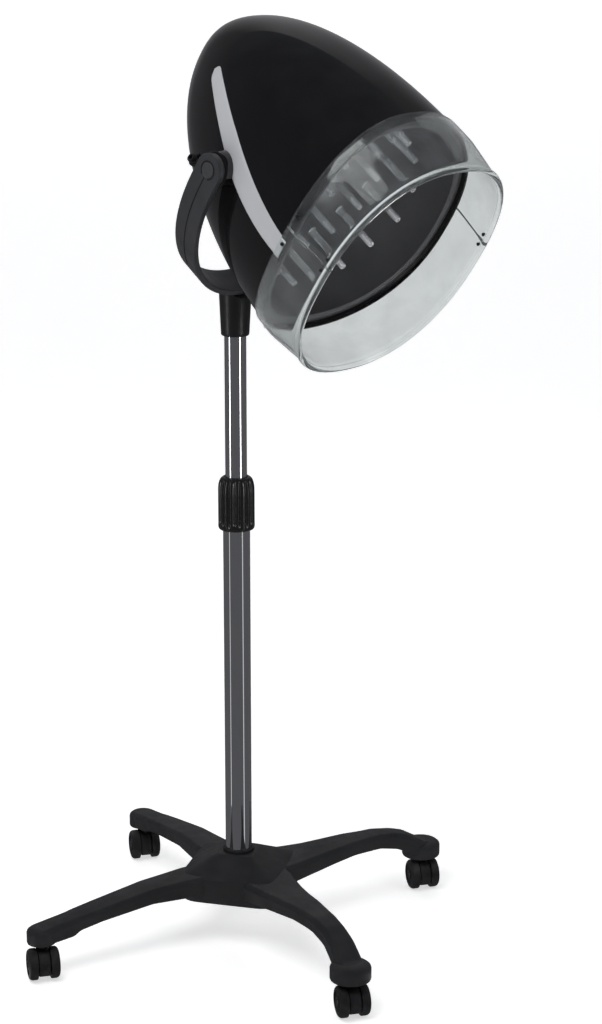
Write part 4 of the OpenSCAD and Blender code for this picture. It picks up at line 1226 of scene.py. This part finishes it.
def knob(joint, name, node_name, body):
    """A ribbed knob on its skirt, about the joint's axis, and its pointer."""
    at = Place(JOINTS[joint]["pos_m"], PANEL_X, PANEL_N, PANEL_Z)
    seat = at.at([0, 0, 0], [[1, 0, 0], [0, 0, -1], [0, 1, 0]])
    profile = [(0.0030, -0.009), (0.0030, 0.0006), (0.0144, 0.0006), (0.0150, 0.0012),
               (0.0150, 0.0030), (0.0142, 0.0037), (0.0128, 0.0042), (0.0124, 0.0060),
               (0.0122, 0.0125), (0.0116, 0.0140), (0.0100, 0.0146), (0.0060, 0.0142)]

    def ribs(r, z, a):
        fine = (z > 0.005) & (z < 0.0132)
        return r - 0.0005 * fine * (0.5 + 0.5 * np.cos(36 * a))

    solid(name, [lathe(seat, profile, 216, flute=ribs)], M["knob"], body, [node_name])
    path = seat.put([[0, y, 0.0144] for y in np.linspace(0.0050, 0.0105, 6)])
    solid(name + "_pointer", [tube_along(path, 0.0007, 10, PANEL_N)], M["mark"], body)
    ticks = []
    for a in np.radians(np.linspace(-140, 140, 11)):
        ends = [[r * math.sin(a), r * math.cos(a), 0.0001] for r in np.linspace(0.0168, 0.0188, 4)]
        ticks.append(tube_along(seat.put(ends), 0.0003, 8, PANEL_N))
    solid(name + "_scale", ticks, M["mark"], "hood")


knob("timer_turn", "timer_dial", "timer_knob", "timer")
knob("heat_turn", "heat_dial", "heat_knob", "heat")

gland = next(m for m in frame["record"]["mounts"] if m["name"] == "cord_gland")
out = np.array(gland["axis"])
aside = np.cross([0, 0, 1], out)
aside /= np.linalg.norm(aside)
seat = Place(np.array(gland["pos_m"]) - 0.002 * out, aside, np.cross(out, aside), out)
profile = [(0.00375, 0.0122), (0.0052, 0.0122), (0.0060, 0.0116), (0.0062, 0.0105),
           (0.0056, 0.0098), (0.0056, 0.0088), (0.0063, 0.0082), (0.0064, 0.0070),
           (0.0059, 0.0062), (0.0060, 0.0054), (0.0086, 0.0050), (0.0090, 0.0042),
           (0.0090, -0.004), (0.0064, -0.0045), (0.0064, -0.008), (0.00375, -0.008)]
solid("lead_gland", [lathe(seat, profile, 64, True)], M["rubber"], "hood", ["cable_gland"])
print("two knobs with scales, and the gland")

# %% [markdown]
# ## CAD pieces that keep their shape
#
# The inner and small parts stay as the CAD drew them. Each gets its material, and those with
# sharp outer edges get a small bevel.

# %%
KEEP = {
    "foot_plug": "zinc", "base_bolt": "zinc", "guide_bush": "black", "lock_collet": "black",
    "glide_plug": "black", "pivot_bolts": "zinc", "friction_washers": "fibre", "fan_plate": "sheet",
    "fan_rotor": "fan", "motor_can": "sheet", "motor_shaft": "zinc", "heater_frame": "mica",
    "heater_coil": "wire", "thermostat": "ceramic", "inlet_grille": "black",
    "control_panel": "panel", "power_rocker": "rocker", "pilot_lens": "lens",
    "terminal_block": "ceramic", "panel_screws": "zinc",
    **{f"caster_stem_{n}": "zinc" for n in range(1, 5)},
}
# How wide the softened edges are (m).
BEVEL = {"control_panel": 0.0025, "power_rocker": 0.0006, "pilot_lens": 0.0008,
         "panel_screws": 0.0004, "inlet_grille": 0.0006, "terminal_block": 0.001,
         "base_bolt": 0.0006}
for name, material in KEEP.items():
    obj = frame["nodes"][name]
    obj.data.materials.clear()
    obj.data.materials.append(M[material])
    if name in BEVEL:
        soft = obj.modifiers.new("soft edges", "BEVEL")
        soft.width, soft.segments, soft.limit_method = BEVEL[name], 3, "ANGLE"
        soft.angle_limit = math.radians(35)
print("CAD pieces kept:", len(KEEP), "with bevels:", len(BEVEL))
